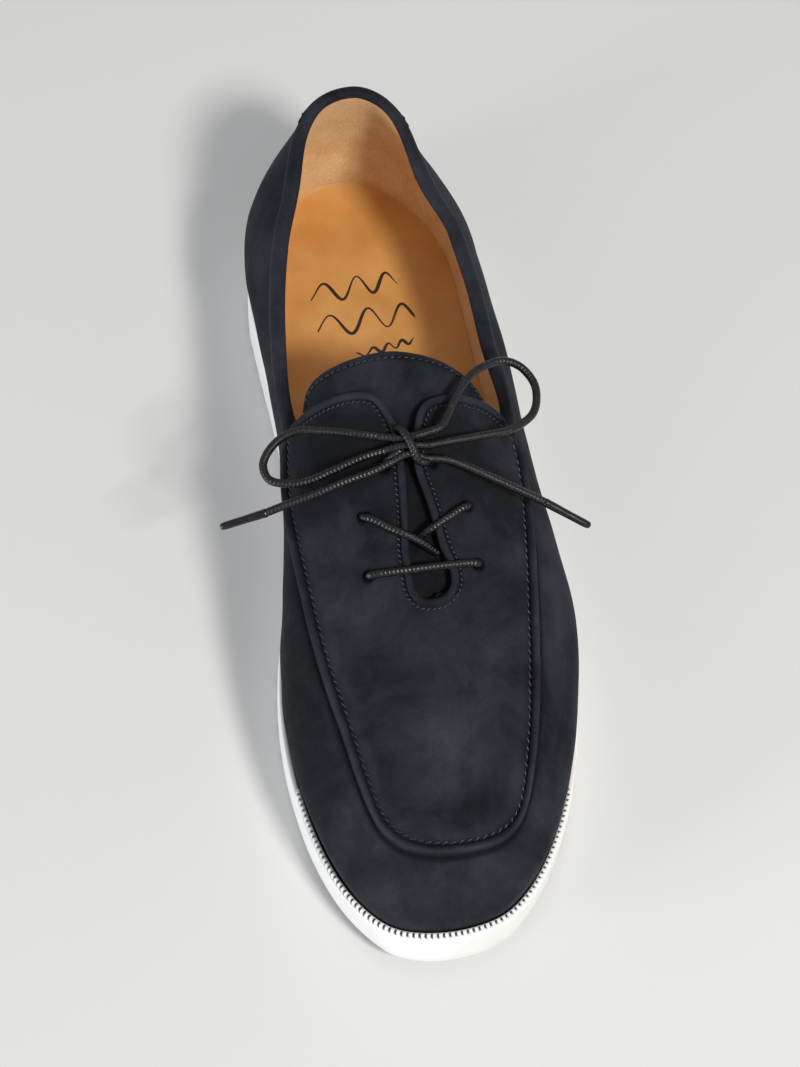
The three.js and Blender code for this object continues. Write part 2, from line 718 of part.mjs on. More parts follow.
const END_LATERAL = [
  [5.4, -4.4, 82.0], [12.3, -5.4, 81.2], [19.6, -8.4, 79.4], [25.0, -11.2, 78.0],
  [30.8, -14.0, 76.0], [37.2, -17.0, 73.6], [42.4, -19.2, 71.2],
];
const AGLET_MEDIAL = [[-46.8, -12.5, 71.5], [-61.4, -13.6, 67.0]];
const AGLET_LATERAL = [[42.8, -19.4, 71.0], [56.8, -26.4, 64.4]];

const points3 = (rows) => rows.map((row) => new THREE.Vector3(...row));

function knotGeometry() {
  const ball = new THREE.SphereGeometry(1, 14, 10);
  ball.scale(...KNOT.half);
  ball.translate(...KNOT.at);
  return geometryFrom(solidOf(ball));
}

// ---------------------------------------------------------------- the shoe

const finish = (name, colour, roughness) => {
  const material = new THREE.MeshStandardMaterial({ color: hexColour(colour), roughness });
  material.name = name;
  material.metalness = 0;
  return material;
};
const nubuck = finish('navy_nubuck', '#262836', 0.9);
const whiteRubber = finish('white_rubber', '#ececea', 0.55);
const tanLeather = finish('tan_leather', '#bd8745', 0.6);
const waxedLace = finish('waxed_lace', '#16161c', 0.45);
const blackFilm = finish('aglet_film', '#0c0c10', 0.25);

const shoe = new THREE.Group();
const pieces = [
  ['sole', soleGeometry(), whiteRubber],
  ['toe_rand', randGeometry(), whiteRubber],
  ['upper', upperGeometry(), nubuck],
  ['insole', insoleGeometry(), tanLeather],
  ['tongue', tongueGeometry(), nubuck],
  ['lace_bar', barGeometry(), waxedLace],
  ['lace_crossing', crossingGeometry(), waxedLace],
  ['lace_knot', knotGeometry(), waxedLace],
  ['lace_loop_medial', tube(points3(LOOP_MEDIAL), LACE, 16), waxedLace],
  ['lace_loop_lateral', tube(points3(LOOP_LATERAL), LACE, 18), waxedLace],
  ['lace_end_medial', tube(points3(END_MEDIAL), LACE, 7), waxedLace],
  ['lace_end_lateral', tube(points3(END_LATERAL), LACE, 7), waxedLace],
  ['aglet_medial', tube(points3(AGLET_MEDIAL), AGLET, 1), blackFilm],
  ['aglet_lateral', tube(points3(AGLET_LATERAL), AGLET, 1), blackFilm],
];
for (const [name, geometry, material] of pieces) {
  const mesh = new THREE.Mesh(geometry, material);
  mesh.name = name;
  shoe.add(mesh);
}

// The origin is the middle of the shoe's own box in plan.
const box = new THREE.Box3().setFromObject(shoe.getObjectByName('sole'));
box.expandByObject(shoe.getObjectByName('upper'));
const middle = box.getCenter(new THREE.Vector3());
shoe.position.set(-middle.x, -middle.y, 0);

export default shoe;
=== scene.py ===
# %% [markdown]
# # A left lace-up moccasin on a white cupsole
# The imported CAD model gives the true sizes: a hollow upper, a tongue, an insole, a cupsole, the
# strip round the toe and the lace. Here each of them gets the surface that it has on a real shoe:
# brushed leather, a hand-sewn ridge, rolled edges, stitches, suede, rubber and a waxed lace.
# The frame is in metres. The toe points to -Y, the heel to +Y, and +X is the outer side.

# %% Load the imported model
import math
import bpy
import bmesh
import numpy as np
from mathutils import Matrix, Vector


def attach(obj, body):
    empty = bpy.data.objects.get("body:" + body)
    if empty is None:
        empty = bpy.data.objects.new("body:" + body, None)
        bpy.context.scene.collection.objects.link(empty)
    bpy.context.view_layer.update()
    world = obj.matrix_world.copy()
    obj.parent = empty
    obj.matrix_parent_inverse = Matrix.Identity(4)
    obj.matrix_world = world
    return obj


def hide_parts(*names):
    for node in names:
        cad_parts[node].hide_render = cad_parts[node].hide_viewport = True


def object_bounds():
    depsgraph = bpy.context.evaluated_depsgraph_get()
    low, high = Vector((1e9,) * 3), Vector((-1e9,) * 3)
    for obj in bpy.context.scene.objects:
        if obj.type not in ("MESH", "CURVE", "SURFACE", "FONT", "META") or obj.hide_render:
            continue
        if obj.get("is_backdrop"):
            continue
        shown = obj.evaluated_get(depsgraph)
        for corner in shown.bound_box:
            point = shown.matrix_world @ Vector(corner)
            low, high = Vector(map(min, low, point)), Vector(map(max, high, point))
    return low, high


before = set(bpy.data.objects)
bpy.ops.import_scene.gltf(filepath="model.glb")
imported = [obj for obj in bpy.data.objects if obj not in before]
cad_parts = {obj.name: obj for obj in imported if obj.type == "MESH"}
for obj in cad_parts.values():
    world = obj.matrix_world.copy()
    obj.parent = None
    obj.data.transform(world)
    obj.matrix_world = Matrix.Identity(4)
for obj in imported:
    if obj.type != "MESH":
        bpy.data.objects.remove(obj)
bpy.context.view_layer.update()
print("CAD nodes:", sorted(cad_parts))

# %% [markdown]
# ## Camera
# The shoe stands on the floor and is seen from in front of the toe, from high up, so that the
# inside of the heel shows. From 0.75 m the near end looks a little larger than the far one. The
# camera is aimed at the shoe's middle and rolled a little, which turns the shoe in the picture.

# %% Camera
EYE = (-0.0703, -0.2988, 0.6820)      # where the lens is, 0.75 m from the shoe
AIM = (-0.0030, -0.0060, 0.0300)
ROLL = math.radians(5.4)

camera_data = bpy.data.cameras.new("camera")
camera_data.sensor_width = 36.0
camera_data.lens = 71.0
camera = bpy.data.objects.new("camera", camera_data)
bpy.context.scene.collection.objects.link(camera)
camera.location = EYE
look = (np.array(AIM) - np.array(EYE)).tolist()
way = camera.location.copy()
way.x, way.y, way.z = look
turn = way.to_track_quat("-Z", "Y")
camera.rotation_mode = "QUATERNION"
camera.rotation_quaternion = turn @ type(turn)((0.0, 0.0, 1.0), ROLL)
camera_data.clip_start, camera_data.clip_end = 0.01, 20.0
bpy.context.scene.camera = camera
print("camera is", round(float(np.linalg.norm(look)), 3), "m from the shoe")

# %% [markdown]
# ## Light and floor
# Soft studio light: a panel high up in front and to the outer side, whose shade falls along the
# outer half of the insole, a faint one overhead, and a low one that brightens the inner side of
# the white sole. A pale surround fills the shade, since navy nubuck swallows light.
# The floor is plain and pale, and it isn't part of the object.

# %% Small helpers for colour, nodes and meshes
def linear(hex_colour):
    """An sRGB hex colour as linear RGBA: c/12.92 below 0.04045, else ((c + 0.055)/1.055)^2.4."""
    c = np.array([int(hex_colour[i:i + 2], 16) for i in (1, 3, 5)]) / 255.0
    c = np.where(c <= 0.04045, c / 12.92, ((c + 0.055) / 1.055) ** 2.4)
    return (float(c[0]), float(c[1]), float(c[2]), 1.0)


def feed(tree, node, **links):
    """Gives a node its inputs, each by name with _ for a space, or i0, i1 ... by place. An input
    takes a value or another node's output."""
    for key, value in links.items():
        place = int(key[1:]) if key[0] == "i" and key[1:].isdigit() else key.replace("_", " ")
        if isinstance(value, bpy.types.NodeSocket):
            tree.links.new(value, node.inputs[place])
        else:
            node.inputs[place].default_value = value
    return node


def add(tree, kind, settings=None, **links):
    """Adds a node. settings are its own fields, and every other word is an input, as in feed."""
    made = tree.nodes.new(kind)
    for key, value in (settings or {}).items():
        setattr(made, key, value)
    return feed(tree, made, **links)


def start_material(name):
    """A new material with only its shader and output, and the shader's node."""
    material = bpy.data.materials.new(name)
    material.use_nodes = True
    tree = material.node_tree
    tree.nodes.clear()
    shader = tree.nodes.new("ShaderNodeBsdfPrincipled")
    out = tree.nodes.new("ShaderNodeOutputMaterial")
    tree.links.new(shader.outputs[0], out.inputs[0])
    return material, tree, shader


def grain(mm):
    """Noise scale on object coordinates (metres) for features of about this many millimetres."""
    return 1000.0 / mm


# %% Lights
def soft_panel(name, place, aim, size, watts, hex_colour):
    """A square area light at place, facing aim."""
    data = bpy.data.lights.new(name, "AREA")
    data.shape = "SQUARE"
    data.size = size
    data.energy = watts
    data.color = linear(hex_colour)[:3]
    panel = bpy.data.objects.new(name, data)
    bpy.context.scene.collection.objects.link(panel)
    panel.location = place
    way = panel.location.copy()
    way.x, way.y, way.z = [a - p for a, p in zip(aim, place)]
    panel.rotation_euler = way.to_track_quat("-Z", "Y").to_euler()
    return panel


soft_panel("panel_outer", (0.56, -0.80, 1.32), (0, 0, 0.02), 0.28, 17.0, "#fffdf8")
soft_panel("panel_above", (0.2, 0.1, 1.7), (0, 0, 0.02), 1.2, 1.0, "#ffffff")
soft_panel("panel_inner", (-1.35, -0.55, 0.26), (0, 0, 0.02), 0.5, 10.0, "#f6f8ff")

world = bpy.data.worlds.new("surround")
world.use_nodes = True
feed(world.node_tree, world.node_tree.nodes["Background"], Color=linear("#f2f3f5"), Strength=0.47)
bpy.context.scene.world = world
bpy.context.scene.view_settings.view_transform = "Standard"

# %% Floor
floor_finish, tree, shader = start_material("floor_paper")   # matt seamless paper
feed(tree, shader, Base_Color=linear("#dddddc"), Roughness=0.9)
half = 12.0
floor_mesh = bpy.data.meshes.new("floor")
floor_mesh.from_pydata([(-half, -half, 0), (half, -half, 0), (half, half, 0), (-half, half, 0)],
                       [], [(0, 1, 2, 3)])
floor = bpy.data.objects.new("floor", floor_mesh)
floor_mesh.materials.append(floor_finish)
bpy.context.scene.collection.objects.link(floor)
floor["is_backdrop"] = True
print("floor is", 2 * half, "m across")

# %% [markdown]
# ## Working sizes
# All shoe shapes below are worked out in millimetres, in the shoemaker's own frame, and moved to
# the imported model's frame at the end. A surface is a grid of points; one helper turns a grid
# into a mesh, in whole arrays, with its UV map in millimetres along the surface.

# %% From grids to meshes
SHIFT = np.array([-1.9603, 0.3000, 0.0])      # shoemaker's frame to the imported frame, in mm


def to_frame(points):
    """Millimetres in the shoemaker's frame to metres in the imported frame."""
    return (np.asarray(points, float) + SHIFT) * 0.001


def smooth(t):
    """The soft step 3t^2 - 2t^3 between 0 and 1."""
    t = np.clip(t, 0.0, 1.0)
    return t * t * (3 - 2 * t)


def bump(x, middle, width):
    """A soft hill exp(-((x - middle)/width)^2)."""
    return np.exp(-((np.asarray(x) - middle) / width) ** 2)


def unit(vectors):
    """Vectors scaled to length 1."""
    return vectors / np.linalg.norm(vectors, axis=-1, keepdims=True)


def run_along(path):
    """Distance along a path at each of its points, from 0."""
    return np.concatenate([[0], np.cumsum(np.linalg.norm(np.diff(path, axis=0), axis=1))])


def read_at(want, run, values):
    """Each column of values, given at the distances run, read at the distances wanted."""
    return np.stack([np.interp(want, run, column) for column in values.T], 1)


def with_height(plan, z):
    """Places in plan and their heights, as points."""
    return np.concatenate([plan, z[..., None]], -1)


def quads_of(rows, columns, closed_rows=False, closed_columns=False, flip=False):
    """Corner numbers of the quads of a grid stored row by row; a closed way joins last to first."""
    r = np.arange(rows if closed_rows else rows - 1)
    c = np.arange(columns if closed_columns else columns - 1)
    r, c = np.meshgrid(r, c, indexing="ij")
    a, b = r * columns + c, r * columns + (c + 1) % columns
    d, e = ((r + 1) % rows) * columns + c, ((r + 1) % rows) * columns + (c + 1) % columns
    quads = np.stack([a, b, e, d], -1).reshape(-1, 4)
    return quads[:, ::-1] if flip else quads


def mesh_piece(name, points, faces, material, uv=None, tone=None, merge=0.0):
    """A mesh object from points in mm and quads. uv is per point, in mm; tone is a shade from 0
    to 1 per point that the material reads. merge welds points closer than that, in mm."""
    mesh = bpy.data.meshes.new(name)
    points = to_frame(np.asarray(points, float).reshape(-1, 3))
    faces = np.asarray(faces, np.int32)
    mesh.vertices.add(len(points))
    mesh.vertices.foreach_set("co", points.astype(np.float32).ravel())
    mesh.loops.add(faces.size)
    mesh.loops.foreach_set("vertex_index", faces.ravel())
    mesh.polygons.add(len(faces))
    mesh.polygons.foreach_set("loop_start", np.arange(0, faces.size, faces.shape[1], dtype=np.int32))
    mesh.polygons.foreach_set("use_smooth", np.full(len(faces), True))
    mesh.update(calc_edges=True)
    if uv is not None:
        layer = mesh.uv_layers.new(name="UVMap")
        layer.data.foreach_set("uv", np.asarray(uv, np.float32).reshape(-1, 2)[faces.ravel()].ravel())
    if tone is not None:
        shade = mesh.attributes.new("tone", "FLOAT", "POINT")
        shade.data.foreach_set("value", np.asarray(tone, np.float32).ravel())
    mesh.validate()
    if merge > 0:
        work = bmesh.new()
        work.from_mesh(mesh)
        bmesh.ops.remove_doubles(work, verts=work.verts, dist=merge * 0.001)
        bmesh.ops.dissolve_degenerate(work, edges=work.edges, dist=1e-7)
        work.to_mesh(mesh)
        work.free()
    mesh.materials.append(material)
    made = bpy.data.objects.new(name, mesh)
    bpy.context.scene.collection.objects.link(made)
    return made


def joined(grids, quad_sets):
    """Several grids as one mesh: their points in one list, and their quads renumbered to match."""
    starts = np.cumsum([0] + [grid[..., 0].size for grid in grids[:-1]])
    return (np.concatenate([grid.reshape(-1, 3) for grid in grids]),
            np.concatenate([quads + start for quads, start in zip(quad_sets, starts)]))


def thicken(piece, name, thickness, offset=-1.0):
    """Gives a sheet its thickness in mm, inwards, or outwards with an offset of 1."""
    wall = piece.modifiers.new(name, "SOLIDIFY")
    wall.thickness, wall.offset = thickness * 0.001, offset


def settle(piece, slot, *nodes):
    """The piece rides on the shoe's one body, and stands for the CAD nodes named."""
    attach(piece, "root")
    if nodes:
        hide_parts(*nodes)
    print(piece.name, len(piece.data.polygons), "faces")
    return piece


# %% [markdown]
# ## The waxed lace
# A round waxed cotton lace, 2.7 mm thick, tied in a bow. Each loop and each end is a cord of its
# own, from the knot out. A cord is a tube carried along a route, so that its braid can follow
# its length. The wax gives it a dull shine, and pale specks in its colour are painted glints.

# %% Tubes along routes
def spline(points, count):
    """A centripetal Catmull-Rom curve through the points, as count evenly spaced points."""
    p = np.asarray(points, float)
    p = np.vstack([2 * p[0] - p[1], p, 2 * p[-1] - p[-2]])
    knot = np.concatenate([[0], np.cumsum(np.linalg.norm(np.diff(p, axis=0), axis=1) ** 0.5)])
    q = np.linspace(knot[1], knot[-2], 24 * len(points))
    i = np.clip(np.searchsorted(knot, q, side="right") - 1, 1, len(p) - 3)
    t = [knot[i + k][:, None] for k in (-1, 0, 1, 2)]
    v = [p[i + k] for k in (-1, 0, 1, 2)]
    q = q[:, None]
    a = [((t[k + 1] - q) * v[k] + (q - t[k]) * v[k + 1]) / (t[k + 1] - t[k]) for k in range(3)]
    b = [((t[k + 2] - q) * a[k] + (q - t[k]) * a[k + 1]) / (t[k + 2] - t[k]) for k in range(2)]
    curve = ((t[2] - q) * b[0] + (q - t[1]) * b[1]) / (t[2] - t[1])
    run = run_along(curve)
    return read_at(np.linspace(0, run[-1], count), run, curve)


def length_of(path):
    """Length along a path of points."""
    return float(np.linalg.norm(np.diff(path, axis=0), axis=1).sum())


def offset_plan(line, distance):
    """A plan line moved sideways, to the left of its way, by distance, a number or one per point."""
    way = unit(np.gradient(line, axis=0))
    return line + np.asarray(distance, float).reshape(-1, 1) * np.stack([-way[:, 1], way[:, 0]], 1)


def frames_along(path):
    """Tangent, side and up at each point, turned as little as possible from one to the next."""
    tangent = unit(np.gradient(path, axis=0))
    up = np.array([0.0, 0.0, 1.0]) if abs(tangent[0, 2]) < 0.9 else np.array([0.0, 1.0, 0.0])
    ups = []
    for t in tangent:
        up = up - t * (up @ t)
        up = up / np.linalg.norm(up)
        ups.append(up)
    up = np.array(ups)
    return tangent, np.cross(tangent, up), up


def tube_grid(path, radius, sides=14):
    """Circles of radius (a number or one per point) carried along a path, and closed at both
    ends by rings that shrink to a point. Gives points and UVs in mm."""
    path = np.asarray(path, float)
    radius = np.broadcast_to(np.asarray(radius, float), (len(path),))
    tangent, side, up = frames_along(path)
    around = np.linspace(0, 2 * np.pi, sides + 1)
    ring = np.cos(around)[None, :, None] * side[:, None] + np.sin(around)[None, :, None] * up[:, None]
    body = path[:, None] + radius[:, None, None] * ring
    run = run_along(path)
    first = path[0] - tangent[0] * 0.35 * radius[0] + 0.6 * radius[0] * ring[0]
    final = path[-1] + tangent[-1] * 0.35 * radius[-1] + 0.6 * radius[-1] * ring[-1]
    tips = [np.broadcast_to(path[0] - tangent[0] * 0.45 * radius[0], ring[0].shape),
            np.broadcast_to(path[-1] + tangent[-1] * 0.45 * radius[-1], ring[-1].shape)]
    grid = np.concatenate([tips[0][None], first[None], body, final[None], tips[1][None]])
    run = np.concatenate([[run[0] - 0.6, run[0] - 0.4], run, [run[-1] + 0.4, run[-1] + 0.6]])
    uv = np.stack(np.broadcast_arrays(around[None] * radius.mean(), run[:, None]), -1)
    return grid, uv


def tube_piece(name, path, radius, material, sides=14, tone=0.5):
    """A tube as a mesh piece, in one shade."""
    grid, uv = tube_grid(path, radius, sides)
    return mesh_piece(name, grid, quads_of(*grid.shape[:2], flip=True), material, uv=uv,
                      tone=np.full(grid.shape[:2], tone), merge=0.002)


# %% [markdown]
# ## Lace finish
# Waxed braided cotton, near-black navy. The braid is two crossing sets of slanted threads, read
# from the tube's own UVs, about 1 mm from thread to thread. The wax fills it, so the bump is low
# and the roughness middling; pale specks on the braid's crests are painted glints.

# %% Waxed braid
waxed_cord, tree, shader = start_material("waxed_cotton_braid")
place = add(tree, "ShaderNodeUVMap", {"uv_map": "UVMap"})
slant_one = add(tree, "ShaderNodeMapping", Vector=place.outputs[0], Rotation=(0, 0, 0.62))
slant_two = add(tree, "ShaderNodeMapping", Vector=place.outputs[0], Rotation=(0, 0, -0.62))
threads_one = add(tree, "ShaderNodeTexWave", {"bands_direction": "Y"}, Vector=slant_one.outputs[0],
                  Scale=0.30, Distortion=0.3)
threads_two = add(tree, "ShaderNodeTexWave", {"bands_direction": "Y"}, Vector=slant_two.outputs[0],
                  Scale=0.30, Distortion=0.3)
braid = add(tree, "ShaderNodeMath", {"operation": "MAXIMUM"},
            i0=threads_one.outputs["Fac"], i1=threads_two.outputs["Fac"])
body = add(tree, "ShaderNodeTexCoord")
specks = add(tree, "ShaderNodeTexNoise", Vector=body.outputs["Object"], Scale=grain(0.9),
             Detail=4.0, Roughness=0.7)
# Painted glints: pale specks on the braid's crests.
glint_mask = add(tree, "ShaderNodeMapRange", Value=specks.outputs["Fac"], From_Min=0.58,
                 From_Max=0.74)
painted_glints = add(tree, "ShaderNodeMath", {"operation": "MULTIPLY"},
               i0=glint_mask.outputs[0], i1=braid.outputs[0])
tint = add(tree, "ShaderNodeMix", {"data_type": "RGBA"}, i0=painted_glints.outputs[0],
           i6=linear("#07080c"), i7=linear("#4a4c57"))
gloss = add(tree, "ShaderNodeMapRange", Value=specks.outputs["Fac"], From_Min=0.3, From_Max=0.7,
            To_Min=0.22, To_Max=0.46)
relief = add(tree, "ShaderNodeBump", Strength=0.5, Distance=0.00025, Height=braid.outputs[0])
feed(tree, shader, Base_Color=tint.outputs[2], Roughness=gloss.outputs[0], Normal=relief.outputs[0],
     IOR=1.5)

# %% [markdown]
# ## The bow
# The routes are the ones that the CAD model gives: two loops that leave the knot and come back
# into it, and two ends with their aglets.

# %% Loops and ends
LACE = 2.7
LOOPS = {
    "lace_loop_medial": [
        [-6.2, 3.0, 84.6], [-13.9, 5.4, 84.2], [-19.8, 7.6, 83.0], [-25.3, 9.5, 81.5],
        [-32.9, 11.5, 79.5], [-39.3, 10.5, 77.5], [-44.3, 6.6, 75.5], [-46.1, 2.6, 74.6],
        [-44.6, -2.4, 74.4], [-38.0, -5.0, 75.2], [-31.8, -5.2, 76.4], [-22.9, -3.4, 79.2],
        [-14.0, -1.6, 82.0], [-6.6, -0.8, 83.4]],
    "lace_loop_lateral": [
        [6.2, 2.4, 86.2], [11.2, 3.8, 86.4], [13.8, 7.5, 86.0], [16.7, 12.7, 85.6],
        [20.6, 18.7, 85.0], [24.6, 23.0, 84.0], [29.0, 26.1, 82.6], [35.9, 28.6, 80.5],
        [41.6, 26.8, 78.5], [45.4, 20.9, 77.0], [45.2, 14.6, 76.4], [43.2, 10.1, 76.6],
        [39.6, 6.9, 77.4], [33.6, 3.7, 79.0], [27.4, 2.3, 80.6], [21.0, 1.1, 82.0],
        [14.5, 0.0, 83.4], [6.8, -0.8, 83.8]]}
ENDS = {
    "lace_end_medial": [
        [-5.2, -4.6, 82.6], [-11.4, -6.7, 81.4], [-17.6, -7.8, 80.2], [-23.5, -9.0, 79.0],
        [-29.7, -10.2, 77.2], [-35.6, -11.0, 75.2], [-41.1, -11.6, 73.4], [-46.4, -12.4, 71.6]],
    "lace_end_lateral": [
        [5.4, -4.4, 82.0], [12.3, -5.4, 81.2], [19.6, -8.4, 79.4], [25.0, -11.2, 78.0],
        [30.8, -14.0, 76.0], [37.2, -17.0, 73.6], [42.4, -19.2, 71.2]]}
AGLETS = {
    "aglet_medial": [[-46.8, -12.5, 71.5], [-61.4, -13.6, 67.0]],
    "aglet_lateral": [[42.8, -19.4, 71.0], [56.8, -26.4, 64.4]]}

# %% [markdown]
# ## Aglets
# A film of black plastic, shrunk tightly on the lace's end. It is glossy, a little thinner
# than the lace at its tip, and has a small ridge where the film starts.

# %% Aglets
film, tree, shader = start_material("shrunk_acetate_film")
body = add(tree, "ShaderNodeUVMap", {"uv_map": "UVMap"})
stretch = add(tree, "ShaderNodeMapping", Vector=body.outputs[0], Scale=(1.6, 0.12, 1.0))
drag = add(tree, "ShaderNodeTexNoise", Vector=stretch.outputs[0], Scale=1.4, Detail=3.0)
film_tint = add(tree, "ShaderNodeMix", {"data_type": "RGBA"}, i0=drag.outputs["Fac"],
                i6=linear("#08080b"), i7=linear("#1b1b20"))
film_gloss = add(tree, "ShaderNodeMapRange", Value=drag.outputs["Fac"], From_Min=0.3, From_Max=0.7,
                 To_Min=0.14, To_Max=0.36)
film_relief = add(tree, "ShaderNodeBump", Strength=0.35, Distance=0.0002, Height=drag.outputs["Fac"])
feed(tree, shader, Base_Color=film_tint.outputs[2], Roughness=film_gloss.outputs[0],
     Normal=film_relief.outputs[0], IOR=1.48)

for name, (start, stop) in AGLETS.items():
    path = np.linspace(start, stop, 24)
    share = np.linspace(0, 1, 24)
    radius = 1.42 - 0.12 * smooth((share - 0.1) / 0.5) - 0.2 * smooth((share - 0.92) / 0.08)
    radius = radius + 0.1 * bump(share, 0.03, 0.02)
    piece = tube_piece(name + "_film", path, radius, film, sides=16)
    settle(piece, "aglet_film", name)

# %% Cords
for name, route in LOOPS.items():
    path = spline(route, 150)
    piece = tube_piece(name + "_cord", path, LACE / 2, waxed_cord)
    settle(piece, "waxed_lace", name)
    print(name, "is", round(length_of(path), 1), "mm long")
for name, route in ENDS.items():
    path = spline(route, 70)
    piece = tube_piece(name + "_cord", path, LACE / 2, waxed_cord)
    settle(piece, "waxed_lace", name)
    aglet_long = math.dist(*AGLETS[name.replace("lace_end", "aglet")])
    print(name, "is", round(length_of(path), 1), "mm long, and its aglet", round(aglet_long, 1), "mm")

# %% [markdown]
# ## The last
# A shoe is made round a last, a form of the foot. Every leather surface here is a part of that
# form, so it comes first. Each cross-section is given by a table row: how wide it is and where,
# how high the crown is, and how rounded the sides are. Rows are joined by cubics, and crowd
# towards the toe so that it closes round.

# %% Tables of the last and the sole
TOE_TIP, HEEL_AXIS = -142.5, 92.0
HEEL_WIDE, HEEL_FEATHER, HEEL_CROWN, HEEL_TOP = 56.5, 53.0, 250.0, 77.0
HEEL_ROUND_MEDIAL, HEEL_ROUND_LATERAL = 2.2, 1.87
HEEL_LEAN, QUARTER_LEAN = 2.2, 3.0
GAP, RIDGE_REACH = 0.3, 0.6

LAST = np.array([
    # y, centre, wide, wide_z, crown_z, base, base_mid, ridge, dome, side
    [TOE_TIP, -4.0, 0.0, 25.0, 25.0, 0.0, -4.0, -4.0, 2.2, 2.0],
    [-140, -3.7, 15.6, 25.6, 32.5, 15.2, -3.7, -3.4, 2.2, 2.0],
    [-134, -3.2, 24.4, 26.2, 37.0, 23.9, -3.2, -2.4, 2.2, 2.0],
    [-120, -2.2, 34.4, 27.0, 43.2, 33.8, -2.2, -0.6, 2.2, 2.0],
    [-98, -0.9, 43.2, 28.0, 50.6, 42.4, -0.6, 0.4, 2.1, 2.0],
    [-72, 0.6, 48.6, 29.5, 58.4, 47.4, 0.8, 0.4, 2.0, 2.0],
    [-46, 3.0, 49.6, 32.0, 66.2, 47.8, 2.8, 0.2, 2.1, 2.0],
    [-20, 4.2, 46.0, 35.0, 74.4, 43.0, 4.4, 0.0, 2.45, 2.0],
    [5, 3.8, 43.3, 37.5, 80.6, 39.2, 4.8, 0.2, 2.45, 2.0],
    [24, 3.2, 42.2, 39.0, 85.5, 37.6, 4.0, 0.6, 2.2, 1.9],
    [50, 2.6, 42.2, 40.0, 84.5, 37.4, 2.4, -0.9, 1.9, 1.3],
    [75, 0.4, 41.8, 41.0, 89.0, 37.8, 0.2, 0.4, 1.75, 1.05],
    [HEEL_AXIS, -1.2, 41.4, 41.5, 89.0, 38.0, -1.2, 0.8, 1.7, 1.0]])
FIELDS = ["y", "centre", "wide", "wide_z", "crown_z", "base", "base_mid", "ridge", "dome", "side"]
SOLE = np.array([
    # y, plate height, rim above the plate
    [-150, 11.5, 3.0], [-120, 11.8, 3.4], [-90, 12.2, 4.6], [-60, 13.0, 5.4],
    [30, 15.5, 5.5], [100, 17.5, 5.5], [150, 17.5, 5.5]])


def cubic(keys, values, x):
    """The cubic through (keys, values), with slopes taken from the neighbouring rows."""
    keys, values = np.asarray(keys, float), np.asarray(values, float)
    place = np.arange(len(keys))
    before, after = np.maximum(place - 1, 0), np.minimum(place + 1, len(keys) - 1)
    slope = (values[after] - values[before]) / (keys[after] - keys[before])
    q = np.clip(x, keys[0], keys[-1])
    i = np.clip(np.searchsorted(keys, q, side="right") - 1, 0, len(keys) - 2)
    span = keys[i + 1] - keys[i]
    t = (q - keys[i]) / span
    return ((2 * t ** 3 - 3 * t ** 2 + 1) * values[i] + (t ** 3 - 2 * t ** 2 + t) * span * slope[i]
            + (3 * t ** 2 - 2 * t ** 3) * values[i + 1] + (t ** 3 - t ** 2) * span * slope[i + 1])


def toe_key(y):
    """Root of the share of the way from the toe tip to the heel axis."""
    return np.sqrt(np.maximum(0, np.asarray(y, float) - TOE_TIP) / (HEEL_AXIS - TOE_TIP))


def last(field, y):
    """One column of the table of the last at y."""
    return cubic(toe_key(LAST[:, 0]), LAST[:, FIELDS.index(field)], toe_key(y))


def spring_z(y):
    """Height of the tread: toe spring ahead of the ball, a lifted waist, and a bevel behind."""
    y = np.maximum(np.asarray(y, float), TOE_TIP - 6)
    toe = 7.5 * (np.maximum(0, -78 - y) / (-78 - TOE_TIP)) ** 2
    heel = 1.8 * (np.maximum(0, y - 128) / 20) ** 2
    waist = np.where((y > -24) & (y < 52), np.maximum(0, 1 - ((y - 14) / 38) ** 2), 0)
    return toe + heel + 1.6 * waist * waist


def plate_z(y):
    """Height of the plate under the foot."""
    return spring_z(y) + cubic(SOLE[:, 0], SOLE[:, 1], y)


def rim_z(y):
    """Height of the cupsole's rim."""
    return plate_z(y) + cubic(SOLE[:, 0], SOLE[:, 2], y)


# %% [markdown]
# ## Stations round the shoe
# A station is a cut through the wall of the last. From the heel axis it runs along the inner
# side to the toe, back along the outer side, and then turns round the heel. A wall surface is
# then a grid: stations one way, and height the other.

# %% Stations
def stations(side_ys, heel_steps):
    """Once round the shoe: side_ys from the heel axis to the toe on the inner side, the same
    back on the outer side, and heel_steps sections turned round the heel axis."""
    y = np.concatenate([side_ys, side_ys[-2::-1]])
    sign = np.concatenate([-np.ones(len(side_ys)), np.ones(len(side_ys) - 1)])
    sides = {f: last(f, y) for f in FIELDS[1:]}
    sides.update(y=y, dx=sign, dy=0 * y, lean=0 * y)
    angle = np.pi * np.arange(1, heel_steps) / heel_steps
    c, s = np.cos(angle), np.sin(angle)
    power = np.where(c > 0, HEEL_ROUND_LATERAL, HEEL_ROUND_MEDIAL)
    at = {f: float(last(f, HEEL_AXIS)) for f in FIELDS[1:]}
    meet, meet_back = 1 / (at["crown_z"] - at["wide_z"]), 1 / (HEEL_CROWN - at["wide_z"])
    ones = np.ones_like(c)

    def radius(half, back):
        return ((np.abs(c) / half) ** power + (s / back) ** power) ** (-1 / power)

    heel = {f: at[f] * ones for f in at}
    heel.update(
        y=HEEL_AXIS * ones, dx=c, dy=s, wide=radius(at["wide"], HEEL_WIDE),
        base=radius(at["base"], HEEL_FEATHER),
        crown_z=at["wide_z"] + 1 / (meet + (meet_back - meet) * s ** 4),
        lean=HEEL_LEAN * s ** 4 - np.where(c > 0, QUARTER_LEAN * 2 * c * s, 0))
    return {f: np.concatenate([sides[f], heel[f]])[:, None] for f in sides}


